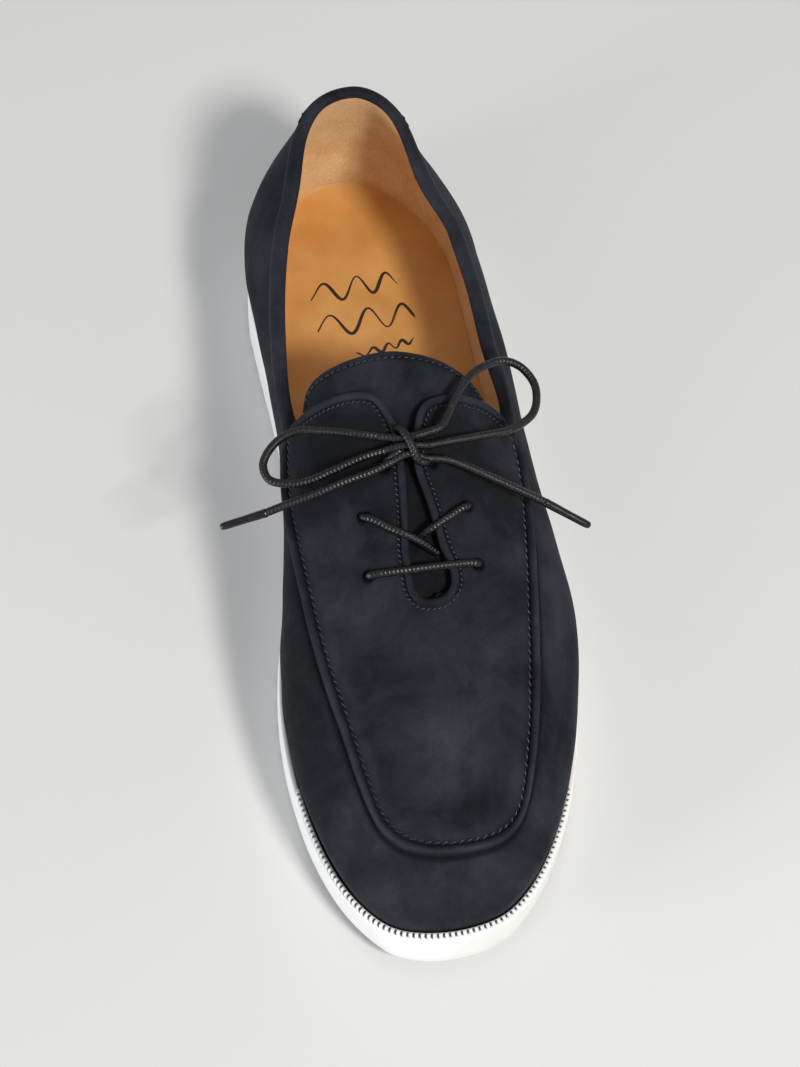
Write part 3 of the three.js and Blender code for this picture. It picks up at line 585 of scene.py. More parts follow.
def upper_wall(st, rise):
    """A point on each station above the widest line. The distance out is
    wide (1 - rise^dome)^(1/side), and the middle moves to the ridge as the wall rises."""
    distance = st["wide"] * np.maximum(0, 1 - rise ** st["dome"]) ** (1 / st["side"])
    z = st["wide_z"] + (st["crown_z"] - st["wide_z"]) * rise
    middle = (st["centre"] + (st["ridge"] - st["centre"]) * smooth(rise / RIDGE_REACH)
              + st["lean"] * (z - st["wide_z"]) / (HEEL_TOP - st["wide_z"]))
    return np.stack(np.broadcast_arrays(middle + st["dx"] * distance,
                                        st["y"] + st["dy"] * distance, z), -1)


def lower_wall(st, share):
    """A point on each station between the feather edge (0) and the widest line (1)."""
    at_y = st["y"] + st["dy"] * st["base"]
    foot, bulge = plate_z(at_y) + GAP, rim_z(at_y)
    top = np.maximum(st["wide_z"], bulge + 1)
    z = foot + (top - foot) * share
    t = smooth((z - bulge) / (top - bulge))
    distance = st["base"] + (st["wide"] - st["base"]) * t
    middle = st["base_mid"] + (st["centre"] - st["base_mid"]) * t
    return np.stack(np.broadcast_arrays(middle + st["dx"] * distance,
                                        st["y"] + st["dy"] * distance, z), -1)


def roof_z(x, y):
    """Height of the last over a place in plan, found by halving the rise 30 times."""
    x, y = np.broadcast_arrays(np.asarray(x, float), np.asarray(y, float))
    f = {k: last(k, y) for k in FIELDS[1:]}
    low, high = np.zeros_like(x), np.ones_like(x)
    for _ in range(30):
        rise = (low + high) / 2
        middle = f["centre"] + (f["ridge"] - f["centre"]) * smooth(rise / RIDGE_REACH)
        inside = f["wide"] * (1 - rise ** f["dome"]) ** (1 / f["side"]) > np.abs(x - middle)
        low, high = np.where(inside, rise, low), np.where(inside, high, rise)
    return f["wide_z"] + (f["crown_z"] - f["wide_z"]) * low


def roof_normal(x, y, step=0.5):
    """Outward normal of the last over a place in plan, from differences of its height."""
    dx = (roof_z(x + step, y) - roof_z(x - step, y)) / (2 * step)
    dy = (roof_z(x, y + step) - roof_z(x, y - step)) / (2 * step)
    return unit(np.stack([-dx, -dy, np.ones_like(dx)], -1))


def on_leather(plan, lift=0.0):
    """Places in plan lifted onto the last, and moved out along its normal by lift."""
    plan = np.asarray(plan, float)
    x, y = plan[..., 0], plan[..., 1]
    return with_height(plan, roof_z(x, y)) + np.asarray(lift, float)[..., None] * roof_normal(x, y)


def grid_normals(grid, closed):
    """Unit normals of a grid from its neighbours; closed joins the first and last columns."""
    along = (np.roll(grid, -1, 0) - np.roll(grid, 1, 0)) if closed else np.gradient(grid, axis=0)
    across = np.gradient(grid, axis=1)
    n = np.cross(along, across)
    return n / np.maximum(1e-9, np.linalg.norm(n, axis=-1, keepdims=True))


ball = stations(np.array([-46.0, -47.0]), 4)
print("width of the last over the ball:", round(2 * float(ball["wide"][0, 0]), 1), "mm")

# %% [markdown]
# ## Brushed leather
# Nubuck is leather sanded on its outer face until it has a short nap. It has no gloss of its own,
# a soft pale sheen at grazing angles, and cloudy patches where the nap lies one way or the
# other. The pattern therefore has a cloud of 26 mm, a blotch of 5.5 mm and the nap itself, which
# is about 0.1 mm and drawn at 0.45 mm so that it shows. The tone attribute carries painted light
# and shade: painted shade in the grooves of seams and stitches, in the step beyond the ridge, in
# the eyelet dents and on the tongue in the slit, a painted highlight on the ridge's back, and soft
# spots of painted light and shade that are partly the nap's own patches. It also lightens the
# rolled edges and darkens the lowest part of the upper.

# %% Navy nubuck
nubuck, tree, shader = start_material("navy_nubuck_leather")
body = add(tree, "ShaderNodeTexCoord")
tone = add(tree, "ShaderNodeAttribute", {"attribute_name": "tone"})
cloud = add(tree, "ShaderNodeTexNoise", Vector=body.outputs["Object"], Scale=grain(26), Detail=5.0,
            Roughness=0.62, Distortion=0.4)
blotch = add(tree, "ShaderNodeTexNoise", Vector=body.outputs["Object"], Scale=grain(5.5), Detail=4.0,
             Roughness=0.6)
nap = add(tree, "ShaderNodeTexNoise", Vector=body.outputs["Object"], Scale=grain(0.45), Detail=3.0,
          Roughness=0.7)
dark_light = add(tree, "ShaderNodeMapRange", Value=cloud.outputs["Fac"], From_Min=0.3, From_Max=0.75)
patches = add(tree, "ShaderNodeMath", {"operation": "MULTIPLY_ADD"}, i0=blotch.outputs["Fac"], i1=0.5,
              i2=dark_light.outputs[0])
shade_of = add(tree, "ShaderNodeMath", {"operation": "ADD"}, i0=patches.outputs[0],
               i1=tone.outputs["Fac"])
colours = add(tree, "ShaderNodeValToRGB", Fac=add(
    tree, "ShaderNodeMapRange", Value=shade_of.outputs[0], From_Min=0.1, From_Max=1.9).outputs[0])
ramp = colours.color_ramp
ramp.elements[0].position, ramp.elements[0].color = 0.0, linear("#040508")
ramp.elements[1].position, ramp.elements[1].color = 1.0, linear("#34353f")
middle_stop = ramp.elements.new(0.5)
middle_stop.color = linear("#101219")
fleck = add(tree, "ShaderNodeMapRange", Value=nap.outputs["Fac"], From_Min=0.35, From_Max=0.75,
            To_Min=0.8, To_Max=1.25)
napped = add(tree, "ShaderNodeMix", {"data_type": "RGBA", "blend_type": "MULTIPLY"}, i0=1.0,
             i6=colours.outputs[0], i7=fleck.outputs[0])
matt = add(tree, "ShaderNodeMapRange", Value=blotch.outputs["Fac"], From_Min=0.3, From_Max=0.7,
           To_Min=0.7, To_Max=0.9)
wrinkle = add(tree, "ShaderNodeBump", Strength=0.35, Distance=0.0012, Height=blotch.outputs["Fac"])
fuzz = add(tree, "ShaderNodeBump", Strength=0.55, Distance=0.00022, Height=nap.outputs["Fac"],
           Normal=wrinkle.outputs[0])
# The nap breaks up most of the shine, so the specular level is low.
feed(tree, shader, Base_Color=napped.outputs[2], Roughness=matt.outputs[0], Normal=fuzz.outputs[0],
     Specular_IOR_Level=0.28, Sheen_Weight=0.06, Sheen_Roughness=0.4, Sheen_Tint=linear("#9aa0b8"), IOR=1.4)

# %% [markdown]
# ## Tan suede and tan insole leather
# The quarters are lined with suede, which is the flesh side of leather: warm tan, quite matt and
# visibly fibrous. The insole is the same leather with its smooth side up: even, a little glossy,
# with fine pores and a faint cloud from handling.

# %% Suede and insole leather
suede, tree, shader = start_material("tan_suede_lining")
body = add(tree, "ShaderNodeTexCoord")
fibre = add(tree, "ShaderNodeTexNoise", Vector=body.outputs["Object"], Scale=grain(0.7), Detail=5.0,
            Roughness=0.75)
patch = add(tree, "ShaderNodeTexNoise", Vector=body.outputs["Object"], Scale=grain(9), Detail=3.0)
spread = add(tree, "ShaderNodeMath", {"operation": "MULTIPLY_ADD"}, i0=patch.outputs["Fac"], i1=0.45,
             i2=fibre.outputs["Fac"])
suede_ramp = add(tree, "ShaderNodeValToRGB", Fac=add(
    tree, "ShaderNodeMapRange", Value=spread.outputs[0], From_Min=0.42, From_Max=1.02).outputs[0])
suede_ramp.color_ramp.elements[0].color = linear("#cf9f68")
suede_ramp.color_ramp.elements[1].color = linear("#f8deb6")
suede_ramp.color_ramp.elements.new(0.5).color = linear("#e4bb86")
pile = add(tree, "ShaderNodeBump", Strength=0.8, Distance=0.0004, Height=fibre.outputs["Fac"])
feed(tree, shader, Base_Color=suede_ramp.outputs[0], Normal=pile.outputs[0], Roughness=0.95,
     Sheen_Weight=0.3, Sheen_Tint=linear("#f2dcb8"))

smooth_tan, tree, shader = start_material("tan_insole_leather")
body = add(tree, "ShaderNodeTexCoord")
pores = add(tree, "ShaderNodeTexVoronoi", {"feature": "F1"}, Vector=body.outputs["Object"],
            Scale=grain(0.9))
handling = add(tree, "ShaderNodeTexNoise", Vector=body.outputs["Object"], Scale=grain(22), Detail=4.0)
tan_tint = add(tree, "ShaderNodeMix", {"data_type": "RGBA"}, i0=add(
    tree, "ShaderNodeMapRange", Value=handling.outputs["Fac"], From_Min=0.3, From_Max=0.7).outputs[0],
    i6=linear("#cb8d48"), i7=linear("#dfa660"))
pore_dent = add(tree, "ShaderNodeBump", Strength=0.25, Distance=0.0001, Height=pores.outputs[0])
tan_gloss = add(tree, "ShaderNodeMapRange", Value=handling.outputs["Fac"], From_Min=0.3, From_Max=0.7,
                To_Min=0.42, To_Max=0.58)
feed(tree, shader, Base_Color=tan_tint.outputs[2], Roughness=tan_gloss.outputs[0],
     Normal=pore_dent.outputs[0], IOR=1.45)

# %% [markdown]
# ## Seam lines in plan
# The apron is the panel on top of a moccasin, sewn to the vamp round it. Its seam, the edge of
# the throat and the facings' curved tops are drawn in plan as tables, and laid on the last. The
# seam closes round at the toe, so its rows are joined on the root of the distance from there.

# %% Apron seam and throat edge
SEAM_X, SEAM_Y = 0.8, -120.4        # where the seam crosses the toe
SLIT_Y = -46.4                      # the slit's foot
TOP_MEDIAL, TOP_LATERAL = 20.3, 11.1     # y where the seam meets the collar, on each side
SEAM_MEDIAL = np.array([
    [-120.4, 0.8], [-119.4, -8.4], [-116.0, -16.2], [-109.3, -21.8], [-96.0, -25.6],
    [-81.3, -28.5], [-66.8, -31.6], [-56.6, -33.5], [-35.3, -36.2], [-7.9, -38.6],
    [6.0, -38.2], [20.3, -36.4]])
SEAM_LATERAL = np.array([
    [-120.4, 0.8], [-119.6, 9.8], [-117.0, 16.8], [-110.6, 22.4], [-97.8, 26.5],
    [-75.0, 31.0], [-55.4, 33.6], [-35.5, 35.9], [-10.5, 38.2], [2.0, 38.6], [11.1, 37.4]])
RIM_MEDIAL = np.array([
    [-46.4, 1.5], [-46.0, -1.4], [-44.0, -2.6], [-39.1, -3.3], [-31.9, -3.5], [-16.9, -2.1],
    [-4.2, -1.5], [4.4, -0.9], [8.4, -2.2], [12.4, -3.7], [15.8, -5.3], [18.6, -7.6], [20.3, -10.9]])
RIM_LATERAL = np.array([
    [-46.4, 1.5], [-45.9, 5.4], [-43.6, 8.6], [-37.6, 9.4], [-31.0, 7.1], [-16.3, 4.6],
    [-6.5, 2.2], [2.0, 2.3], [8.5, 3.9], [11.1, 5.0]])


def seam_x(table, y):
    """x of the apron seam at y, joined on the root of the distance from its toe."""
    return cubic(np.sqrt(table[:, 0] - SEAM_Y), table[:, 1], np.sqrt(np.maximum(0, y - SEAM_Y)))


def rim_x(table, y):
    """x of the throat's edge at y, joined on the root of the distance from the slit's foot."""
    return cubic(np.sqrt(table[:, 0] - SLIT_Y), table[:, 1], np.sqrt(np.maximum(0, y - SLIT_Y)))


def middle_x(y):
    """The line down the middle of the apron, from its toe to the slit's foot."""
    return SEAM_X + 0.7 * smooth((np.asarray(y) - SEAM_Y) / 74.0)


# The eyelets: inner and outer x at each row, from the lowest up.
EYELETS = [(-36.6, -17.0, 18.7), (-18.2, -16.4, 17.6), (-4.0, -7.6, 7.6)]
print("apron is", round(float(seam_x(SEAM_LATERAL, -35.5) - seam_x(SEAM_MEDIAL, -35.5)), 1), "mm wide")

# %% [markdown]
# ## Vamp and quarters
# One band of leather runs right round the shoe: the vamp ahead, the quarters at the sides and
# the heel. Its lower edge is at the sole. Its upper edge is the apron seam as far as the
# facings, and from there the collar. At the seam the leather is gathered and turned up, which
# makes the rounded ridge of a moccasin, with a step beyond it. The band is a grid of stations
# by distance from that upper edge, so the ridge is a function of the distance alone.

# %% The band's fine columns
side_ys = np.unique(np.concatenate([
    TOE_TIP + 82.5 * np.linspace(0, 1, 115) ** 2, np.linspace(-60, HEEL_AXIS, 150)]))[::-1]
ring = stations(side_ys, 110)
COUNT = len(ring["y"])
plan_y = ring["y"][:, 0]
is_heel = ring["dy"][:, 0] > 0
is_medial = ring["dx"][:, 0] < 0
corner_y = np.where(is_medial, TOP_MEDIAL, TOP_LATERAL)
is_front = (plan_y < -60) & ~is_heel
is_seam = (plan_y < corner_y) & ~is_heel

COLLAR = np.array([
    # y, height of the collar's edge
    [8.0, 68.5], [14.0, 67.0], [20.0, 63.6], [27.0, 61.0], [40.0, 58.6], [56.0, 58.0],
    [75.0, 60.0], [95.0, 63.4], [115.0, 67.6], [132.0, 72.4], [150.0, 77.0], [165.0, 78.5]])


def collar_z(x, y):
    """Height of the collar's edge; the outer side starts further forward than the inner."""
    forward = np.clip((44 - y) / 30, 0, 1)
    return cubic(COLLAR[:, 0], COLLAR[:, 1], y + np.where(x > 0, 6.0, -3.2) * forward)


steps = np.linspace(0, 1, 161)[None, :]
reach_y = ring["y"] + ring["dy"] * ring["wide"] * 0.97
edge_rise = (collar_z(ring["dx"], reach_y) - ring["wide_z"]) / (ring["crown_z"] - ring["wide_z"])

# The rise at which each side station crosses the seam, by halving.
want = np.where(is_medial, seam_x(SEAM_MEDIAL, plan_y), seam_x(SEAM_LATERAL, plan_y))[:, None]
low, high = np.zeros_like(want), np.ones_like(want)
for _ in range(30):
    half_way = (low + high) / 2
    beyond = upper_wall(ring, half_way)[..., 0] * ring["dx"] > want * ring["dx"]
    low, high = np.where(beyond, half_way, low), np.where(beyond, high, half_way)
seam_rise = low
top_rise = np.where(is_seam[:, None], seam_rise, edge_rise)
blend = smooth((plan_y - corner_y + 6) / 12)[:, None] * ~is_heel[:, None]
near_corner = (np.abs(plan_y - corner_y) < 6)[:, None] & ~is_heel[:, None]
top_rise = np.where(near_corner, seam_rise * (1 - blend) + edge_rise * blend, top_rise)
columns = upper_wall(ring, top_rise * steps)

# %% [markdown]
# Ahead of the ball the columns fan out instead, from the sole's edge to the seam round the
# toe. Each goes straight in plan between two points at the same share of their curves, and its
# height comes from the last.

# %% Fan round the toe
edge_line = np.stack([ring["centre"][:, 0] + ring["dx"][:, 0] * ring["wide"][:, 0], plan_y], 1)
toe = int(np.argmin(np.where(is_heel, 1e9, plan_y)))
for table, chosen in ((SEAM_MEDIAL, is_front & (np.arange(COUNT) <= toe)),
                      (SEAM_LATERAL, is_front & (np.arange(COUNT) >= toe))):
    where = np.nonzero(chosen)[0]
    if where[0] < toe:
        where = where[::-1]
    outline = edge_line[where]
    run = run_along(outline)
    full = run[-1] + np.linalg.norm(outline[-1] - outline[-2]) * 0.5
    line_y = SEAM_Y + 60.4 * np.linspace(0, 1, 400) ** 2
    line = np.stack([seam_x(table, line_y), line_y], 1)
    line_run = run_along(line)
    target = read_at(run / full * line_run[-1], line_run, line)
    pull = (steps[0] ** 2)[None, :, None]
    plan = outline[:, None] + (target - outline)[:, None] * pull
    height = roof_z(plan[..., 0], plan[..., 1])
    height[:, 0] = ring["wide_z"][where, 0]
    columns[where] = with_height(plan, height)

# %% Even spacing, close near the upper edge
run = np.concatenate([np.zeros((COUNT, 1)),
                      np.cumsum(np.linalg.norm(np.diff(columns, axis=1), axis=2), axis=1)], 1)
total = run[:, -1:]
near = np.concatenate([np.arange(0, 5.0, 0.27), np.arange(5.0, 9.1, 0.7)])
far_share = np.linspace(0, 1, 27)[:-1][None, :]
targets = np.concatenate([far_share * (total - near[-1]), (total - near[::-1][None, :])], 1)
offsets = 2.0 * np.arange(COUNT)[:, None]
flat_run = (run / total * 0.999 + offsets).ravel()
flat_want = (targets / total * 0.999 + offsets).ravel()
band = np.stack([np.interp(flat_want, flat_run, columns[..., k].ravel()) for k in range(3)], -1)
band = band.reshape(COUNT, -1, 3)
lower = lower_wall(ring, np.linspace(0, 1, 10)[None, :-1])
from_edge = np.concatenate([total + np.zeros((1, lower.shape[1])), total - targets], 1)
band = np.concatenate([lower, band], 1)
print("band grid:", band.shape[:2], "columns from", round(float(total.min()), 1), "to",
      round(float(total.max()), 1), "mm above the widest line")

# %% [markdown]
# ## Creases
# Leather on a worn or lasted shoe is never even. Each crease is listed: where it is, how
# long and wide, which way it runs and how deep, in shoe sizes. A trough has a low ridge on
# each side. The same list serves the vamp, the quarters and the apron.

# %% Listed folds
FOLDS = [
    # x, y, half-length, half-width, degrees from +X, depth (a ridge is negative)
    [-2, -108, 19, 4.5, 4, 0.9], [12, -97, 11, 3.2, -24, -0.35], [-14, -92, 12, 3.4, 28, 0.3],
    [5, -74, 24, 3.6, 3, 0.28], [-9, -62, 17, 3.0, -8, 0.24], [14, -58, 13, 2.6, 14, 0.22],
    [-41, -64, 9, 3.2, 118, 0.55], [-44, -40, 12, 3.8, 100, 0.45], [42, -66, 10, 3.4, 66, 0.5],
    [46, -46, 11, 3.2, 84, 0.4], [45, -22, 15, 4.6, 95, 0.6], [-41, -12, 14, 4.2, 86, 0.5],
    [40, 22, 13, 4.4, 102, 0.7], [-38, 34, 15, 4.5, 80, 0.6], [40, 56, 17, 5.0, 92, 0.6],
    [-26, -118, 9, 3.0, -52, 0.35], [22, -124, 10, 3.0, 40, 0.35], [-6, -131, 13, 2.6, 2, -0.25],
    [24, -8, 10, 3.2, 66, 0.3], [-24, 2, 11, 3.4, 108, 0.3], [-22, -44, 9, 3.0, 80, 0.22],
    [26, -40, 10, 3.0, 98, 0.25], [20, 120, 14, 5, 60, 0.5], [-28, 112, 14, 5, 118, 0.5]]


def fold_height(x, y):
    """Sum of the hand-placed folds: depth (w^2 - 0.6) e^(-w^2) e^(-u^4) for a trough, with u along
    the fold and w across it, both in half-sizes."""
    height = np.zeros(np.shape(x))
    for cx, cy, along, across, degrees, depth in FOLDS:
        c, s = math.cos(math.radians(degrees)), math.sin(math.radians(degrees))
        u = ((x - cx) * c + (y - cy) * s) / along
        w = ((y - cy) * c - (x - cx) * s) / across
        height += depth * (w * w - 0.6) * np.exp(-w * w) * np.exp(-u ** 4)
    return height


def unevenness(x, y, z):
    """A slow unevenness of about 0.15 mm: three sine waves of 20 to 45 mm, crossing."""
    return (0.09 * np.sin(x / 5.1 + 0.13 * y + 1.2) * np.sin(y / 7.3 + z / 6.0)
            + 0.07 * np.sin(y / 3.7 + x / 9.0 + 0.4 * np.sin(z / 5.0)))


# Painted light and shade: spots lighter on the lit apron, toe and outer side, darker on the facings, the
# inner side and the trough at the apron's toe; partly the nap's own patches.
PAINTED_LIGHT_AND_NAP = [
    # x, y, half-width, half-length, lighter (or darker) by
    [-1, -72, 17, 34, 0.34], [8, -98, 16, 12, 0.2], [-14, -52, 9, 14, 0.18], [0, -133, 24, 9, 0.42],
    [30, -112, 10, 16, 0.25], [-30, -104, 9, 12, 0.1], [42, -62, 7, 34, 0.22], [-42, -46, 9, 44, -0.4],
    [-22, 0, 18, 20, -0.45], [22, -4, 16, 17, -0.4], [38, 30, 8, 30, 0.12], [-38, 60, 9, 40, -0.18],
    [2, -110, 16, 5, -0.35], [-24, -26, 9, 9, 0.1]]


def painted_light_and_nap(x, y):
    """Soft spots of painted light and shade, partly the nap's own patches: lighter where light falls, darker
    in shade.
    """
    tone = np.zeros(np.shape(x))
    for cx, cy, half_wide, half_long, amount in PAINTED_LIGHT_AND_NAP:
        tone += amount * np.exp(-((x - cx) / half_wide) ** 2 - ((y - cy) / half_long) ** 2)
    return tone


def ridge_height(d):
    """The moccasin ridge by distance from the seam: up out of the seam, a round back 1.6 mm
    high, then a step down that fades over 6 mm."""
    back = 2.55 * np.sin(np.pi * np.clip((d + 0.2) / 3.9, 0, 1)) ** 0.75 - 0.95
    beyond = -1.0 * np.exp(-np.maximum(0, d - 3.7) / 3.0)
    return np.where(d < 3.7, np.maximum(back, -1.0), beyond)


# %% Vamp and quarters
seam_weight = np.where(is_heel, 0, 1 - smooth((plan_y - corner_y + 9) / 8))[:, None]
out = -grid_normals(band, True)
if (out[:, 5, 0] * ring["dx"][:, 0]).sum() < 0:
    out = -out
collar_round = -0.9 * np.clip(1 - from_edge / 2.2, 0, 1) ** 2
fade = smooth((from_edge - 0.5) / 4) * smooth((band[..., 2] - 24) / 8)
height = (seam_weight * ridge_height(from_edge) + (1 - seam_weight) * collar_round
          + fade * (fold_height(band[..., 0], band[..., 1])
                    + unevenness(band[..., 0], band[..., 1], band[..., 2])))
vamp_points = band + out * height[..., None]
# The tone paints a highlight along the ridge's back, shade in the seam and a shadow in the step beyond the
# ridge; the upper is drawn darker below 34 mm, and the spots of painted light and shade are added.
shade = (0.5 + seam_weight * (0.25 * bump(from_edge, 1.7, 1.0) - 0.8 * bump(from_edge, 4.2, 1.0)
                              - 0.45 * bump(from_edge, 0.0, 0.5))
         - 0.12 * smooth((34 - band[..., 2]) / 10) + painted_light_and_nap(band[..., 0], band[..., 1]))
run_round = np.cumsum(np.linalg.norm(np.diff(band[:, 4], axis=0, prepend=band[:1, 4]), axis=1))
uv = np.stack(np.broadcast_arrays(run_round[:, None], from_edge), -1)
faces = quads_of(COUNT, band.shape[1], closed_rows=True, flip=True)
vamp = mesh_piece("vamp_and_quarters", vamp_points, faces, nubuck, uv=uv, tone=shade, merge=0.004)
thicken(vamp, "leather thickness", 1.8)
settle(vamp, "navy_nubuck", "upper")

# %% [markdown]
# ## Apron and facings
# The apron is a panel in two halves that meet along the middle below the slit and part round
# it. Rows run straight across the shoe from the seam to the middle or the slit's edge, and
# near the top they bend up into the rounded lobes of the facings. Dents 2.4 mm deep at the
# eyelets stand for the punched holes, where the lace dives in; the CAD model has real holes.

# %% Apron grid
def apron_half(seam_table, rim_table, top_y, lobe, columns_count):
    """Rows from the toe to the top; across, from the seam (0) to the rim (1). A row's y is
    raised by lobe sin(pi s)^0.8 as it nears the top. Gives the grid in plan."""
    low_rows = SEAM_Y + 74.0 * np.linspace(0, 1, 130) ** 1.7
    slit_rows = SLIT_Y + 7.4 * (np.linspace(0, 1, 22)[1:]) ** 2
    top_rows = np.linspace(-39.0, top_y, 100)[1:]
    y = np.concatenate([low_rows, slit_rows, top_rows])
    inner = np.where(y <= SLIT_Y, middle_x(y), rim_x(rim_table, y))
    outer = seam_x(seam_table, y)
    s = np.linspace(0, 1, columns_count)
    s = s - 0.045 * np.sin(2 * np.pi * s)
    grow = smooth((y + 16) / (top_y + 16))
    x = outer[:, None] + (inner - outer)[:, None] * s
    lift = lobe * np.sin(np.pi * s) ** 0.8
    return np.stack([x, y[:, None] + grow[:, None] * lift[None, :]], -1)


halves = []
for table, rim_table, top_y, lobe in ((SEAM_MEDIAL, RIM_MEDIAL, TOP_MEDIAL, 1.8),
                                      (SEAM_LATERAL, RIM_LATERAL, TOP_LATERAL, 6.5)):
    plan = apron_half(table, rim_table, top_y, lobe, 72)
    x, y = plan[..., 0], plan[..., 1]
    d_seam = np.abs(x - seam_x(table, y))
    arc = np.hypot(x - SEAM_X, y - SEAM_Y)
    slope = np.abs(np.gradient(seam_x(table, y[:, 0]), y[:, 0] + 1e-6))
    d_seam = d_seam / np.sqrt(1 + np.minimum(slope, 30)[:, None] ** 2) * np.minimum(1, 0.4 + arc / 20)
    d_front = np.maximum(0, y - SEAM_Y)
    d_seam = np.minimum(d_seam, d_front + 4 * smooth((np.abs(x) - 10) / 14))
    dip = -0.75 * np.exp(-(d_seam / 1.1) ** 2) + 0.18 * bump(d_seam, 3.0, 1.6)
    holes = np.zeros_like(x)
    for ey, medial, lateral in EYELETS:
        ex = medial if table is SEAM_MEDIAL else lateral
        holes += np.exp(-(np.hypot(x - ex, y - ey) / 1.75) ** 4)
    fade = smooth(d_seam / 5)
    lift = dip - 2.4 * holes + fade * (fold_height(x, y) + unevenness(x, y, 0))
    rim_dip = np.where(y > -47, np.abs(x - rim_x(rim_table, np.minimum(y, top_y))), 30.0)
    lift = lift - 0.35 * bump(rim_dip, 2.9, 0.5)
    tuck = 0.95 * np.exp(-(d_seam / 1.6) ** 2)         # the panel's edge goes under the ridge
    side = -1.0 if table is SEAM_MEDIAL else 1.0
    sideways = side * smooth(np.abs(x - middle_x(y)) / 9)
    tucked = plan + np.stack([sideways * tuck, -tuck * np.exp(-(d_front / 5) ** 2)], -1)
    points = on_leather(tucked, lift)
    # The tone paints shade into the seam's groove, into the eyelet dents, which stand for dark holes, and
    # into the stitch groove beside the throat; it is a little lighter 3 mm from the seam, and adds the spots
    # of painted light and shade.
    tone_here = (0.5 - 0.45 * np.exp(-(d_seam / 0.8) ** 2) - 0.5 * holes + 0.1 * bump(d_seam, 3, 2)
                 - 0.5 * bump(rim_dip, 2.9, 0.55) + painted_light_and_nap(x, y))
    halves.append((points, plan, tone_here))
rows, across = halves[0][0].shape[:2]
both, quads = joined([h[0] for h in halves], [quads_of(rows, across), quads_of(rows, across, flip=True)])
apron = mesh_piece("apron_and_facings", both, quads, nubuck,
                   uv=np.concatenate([h[1].reshape(-1, 2) for h in halves]),
                   tone=np.concatenate([h[2].ravel() for h in halves]), merge=0.01)
thicken(apron, "leather thickness", 1.6)
settle(apron, "navy_nubuck")

# %% [markdown]
# ## Rolled edge of the throat
# The edge of the facings and of the slit is turned over a cord, which makes a smooth roll a
# little over 2 mm wide. It is one tube that follows the whole edge, from one side of the
# shoe over the lobe, down into the slit, round its foot and up the other side.

# %% Throat roll
THROAT_EDGE = np.array([
    [37.8, 10.6], [35.8, 13.0], [33.0, 14.9], [28.5, 16.7], [23.5, 17.5], [17.5, 17.6], [12.3, 16.8],
    [8.8, 15.6], [6.4, 13.6], [4.6, 10.6], [3.4, 6.6], [2.4, 1.5], [2.1, -3.5], [2.4, -7.5],
    [3.6, -12.5], [4.7, -17.5], [6.0, -25.0], [7.1, -31.0], [8.7, -35.6], [9.4, -39.5],
    [8.6, -43.2], [5.6, -45.8], [1.6, -46.5], [-1.6, -45.4], [-3.1, -42.4], [-3.4, -38.5],
    [-3.5, -31.5], [-2.8, -24.0], [-2.1, -16.5], [-1.6, -8.0], [-1.4, -1.0], [-1.2, 4.0],
    [-2.3, 8.6], [-3.8, 12.6], [-5.6, 16.4], [-8.0, 19.2], [-11.4, 20.8], [-16.0, 21.8],
    [-21.5, 22.1], [-27.5, 21.7], [-32.5, 20.9], [-36.0, 20.2]])


edge = spline(THROAT_EDGE, 460)
order = np.arange(len(edge))        # the leather lies to the left of this way round
lift = (0.15 - 1.1 * (1 - smooth(order / 14)) - 1.1 * (1 - smooth((len(edge) - 1 - order) / 14)))
roll = tube_piece("throat_rolled_edge", on_leather(offset_plan(edge, 1.0), lift), 1.22, nubuck,
                  sides=16, tone=0.66)
settle(roll, "navy_nubuck")

# %% [markdown]
# ## Collar binding
# A strip of the same nubuck is turned over the top of the quarters, and goes about 5 mm down
# inside. Its profile starts inside the outer leather, comes out through it, goes over the edge
# in a half-round and down the inner side. It is carried round the opening from one facing to
# the other.

# %% Collar binding
quarters = ~is_seam & ~is_heel
opening = np.concatenate([np.nonzero(part)[0] for part in
                          (quarters & ~is_medial, is_heel, quarters & is_medial)])
top_line = vamp_points[opening, -1]
out_way = out[opening, -3]
down_way = unit(vamp_points[opening, -9] - vamp_points[opening, -3])
turn_over = np.linspace(0, np.pi, 11)
profile_out = np.concatenate([[-0.7, 0.7], 1.9 * np.cos(turn_over) - 1.0, [-3.05, -3.1, -3.1, -3.0]])
profile_down = np.concatenate([[5.2, 2.6], 0.6 - 1.6 * np.sin(turn_over), [2.0, 3.4, 4.6, 5.2]])
binding_points = (top_line[:, None] + out_way[:, None] * profile_out[None, :, None]
                  + down_way[:, None] * profile_down[None, :, None])
wave = 0.12 * np.sin(np.arange(len(opening)) / 6.3)[:, None] * np.linspace(0, 1, len(profile_out))
binding_points = binding_points + out_way[:, None] * wave[..., None]
quads = quads_of(len(opening), len(profile_out), flip=True)
binding = mesh_piece("collar_binding", binding_points, quads, nubuck,
                     tone=np.broadcast_to(0.5 + 0.16 * np.sin(np.linspace(0, np.pi, len(profile_out))),
                                          binding_points.shape[:2]))
thicken(binding, "leather thickness", 0.6)
settle(binding, "navy_nubuck")

# %% [markdown]
# ## Heel tab
# A second layer of nubuck covers the joint of the quarters at the back of the heel. It runs from
# just under the collar's edge down to the sole, is 51 mm wide at the top and 28 mm below, and
# is sewn along both sides. It is the band again, raised by its own thickness.

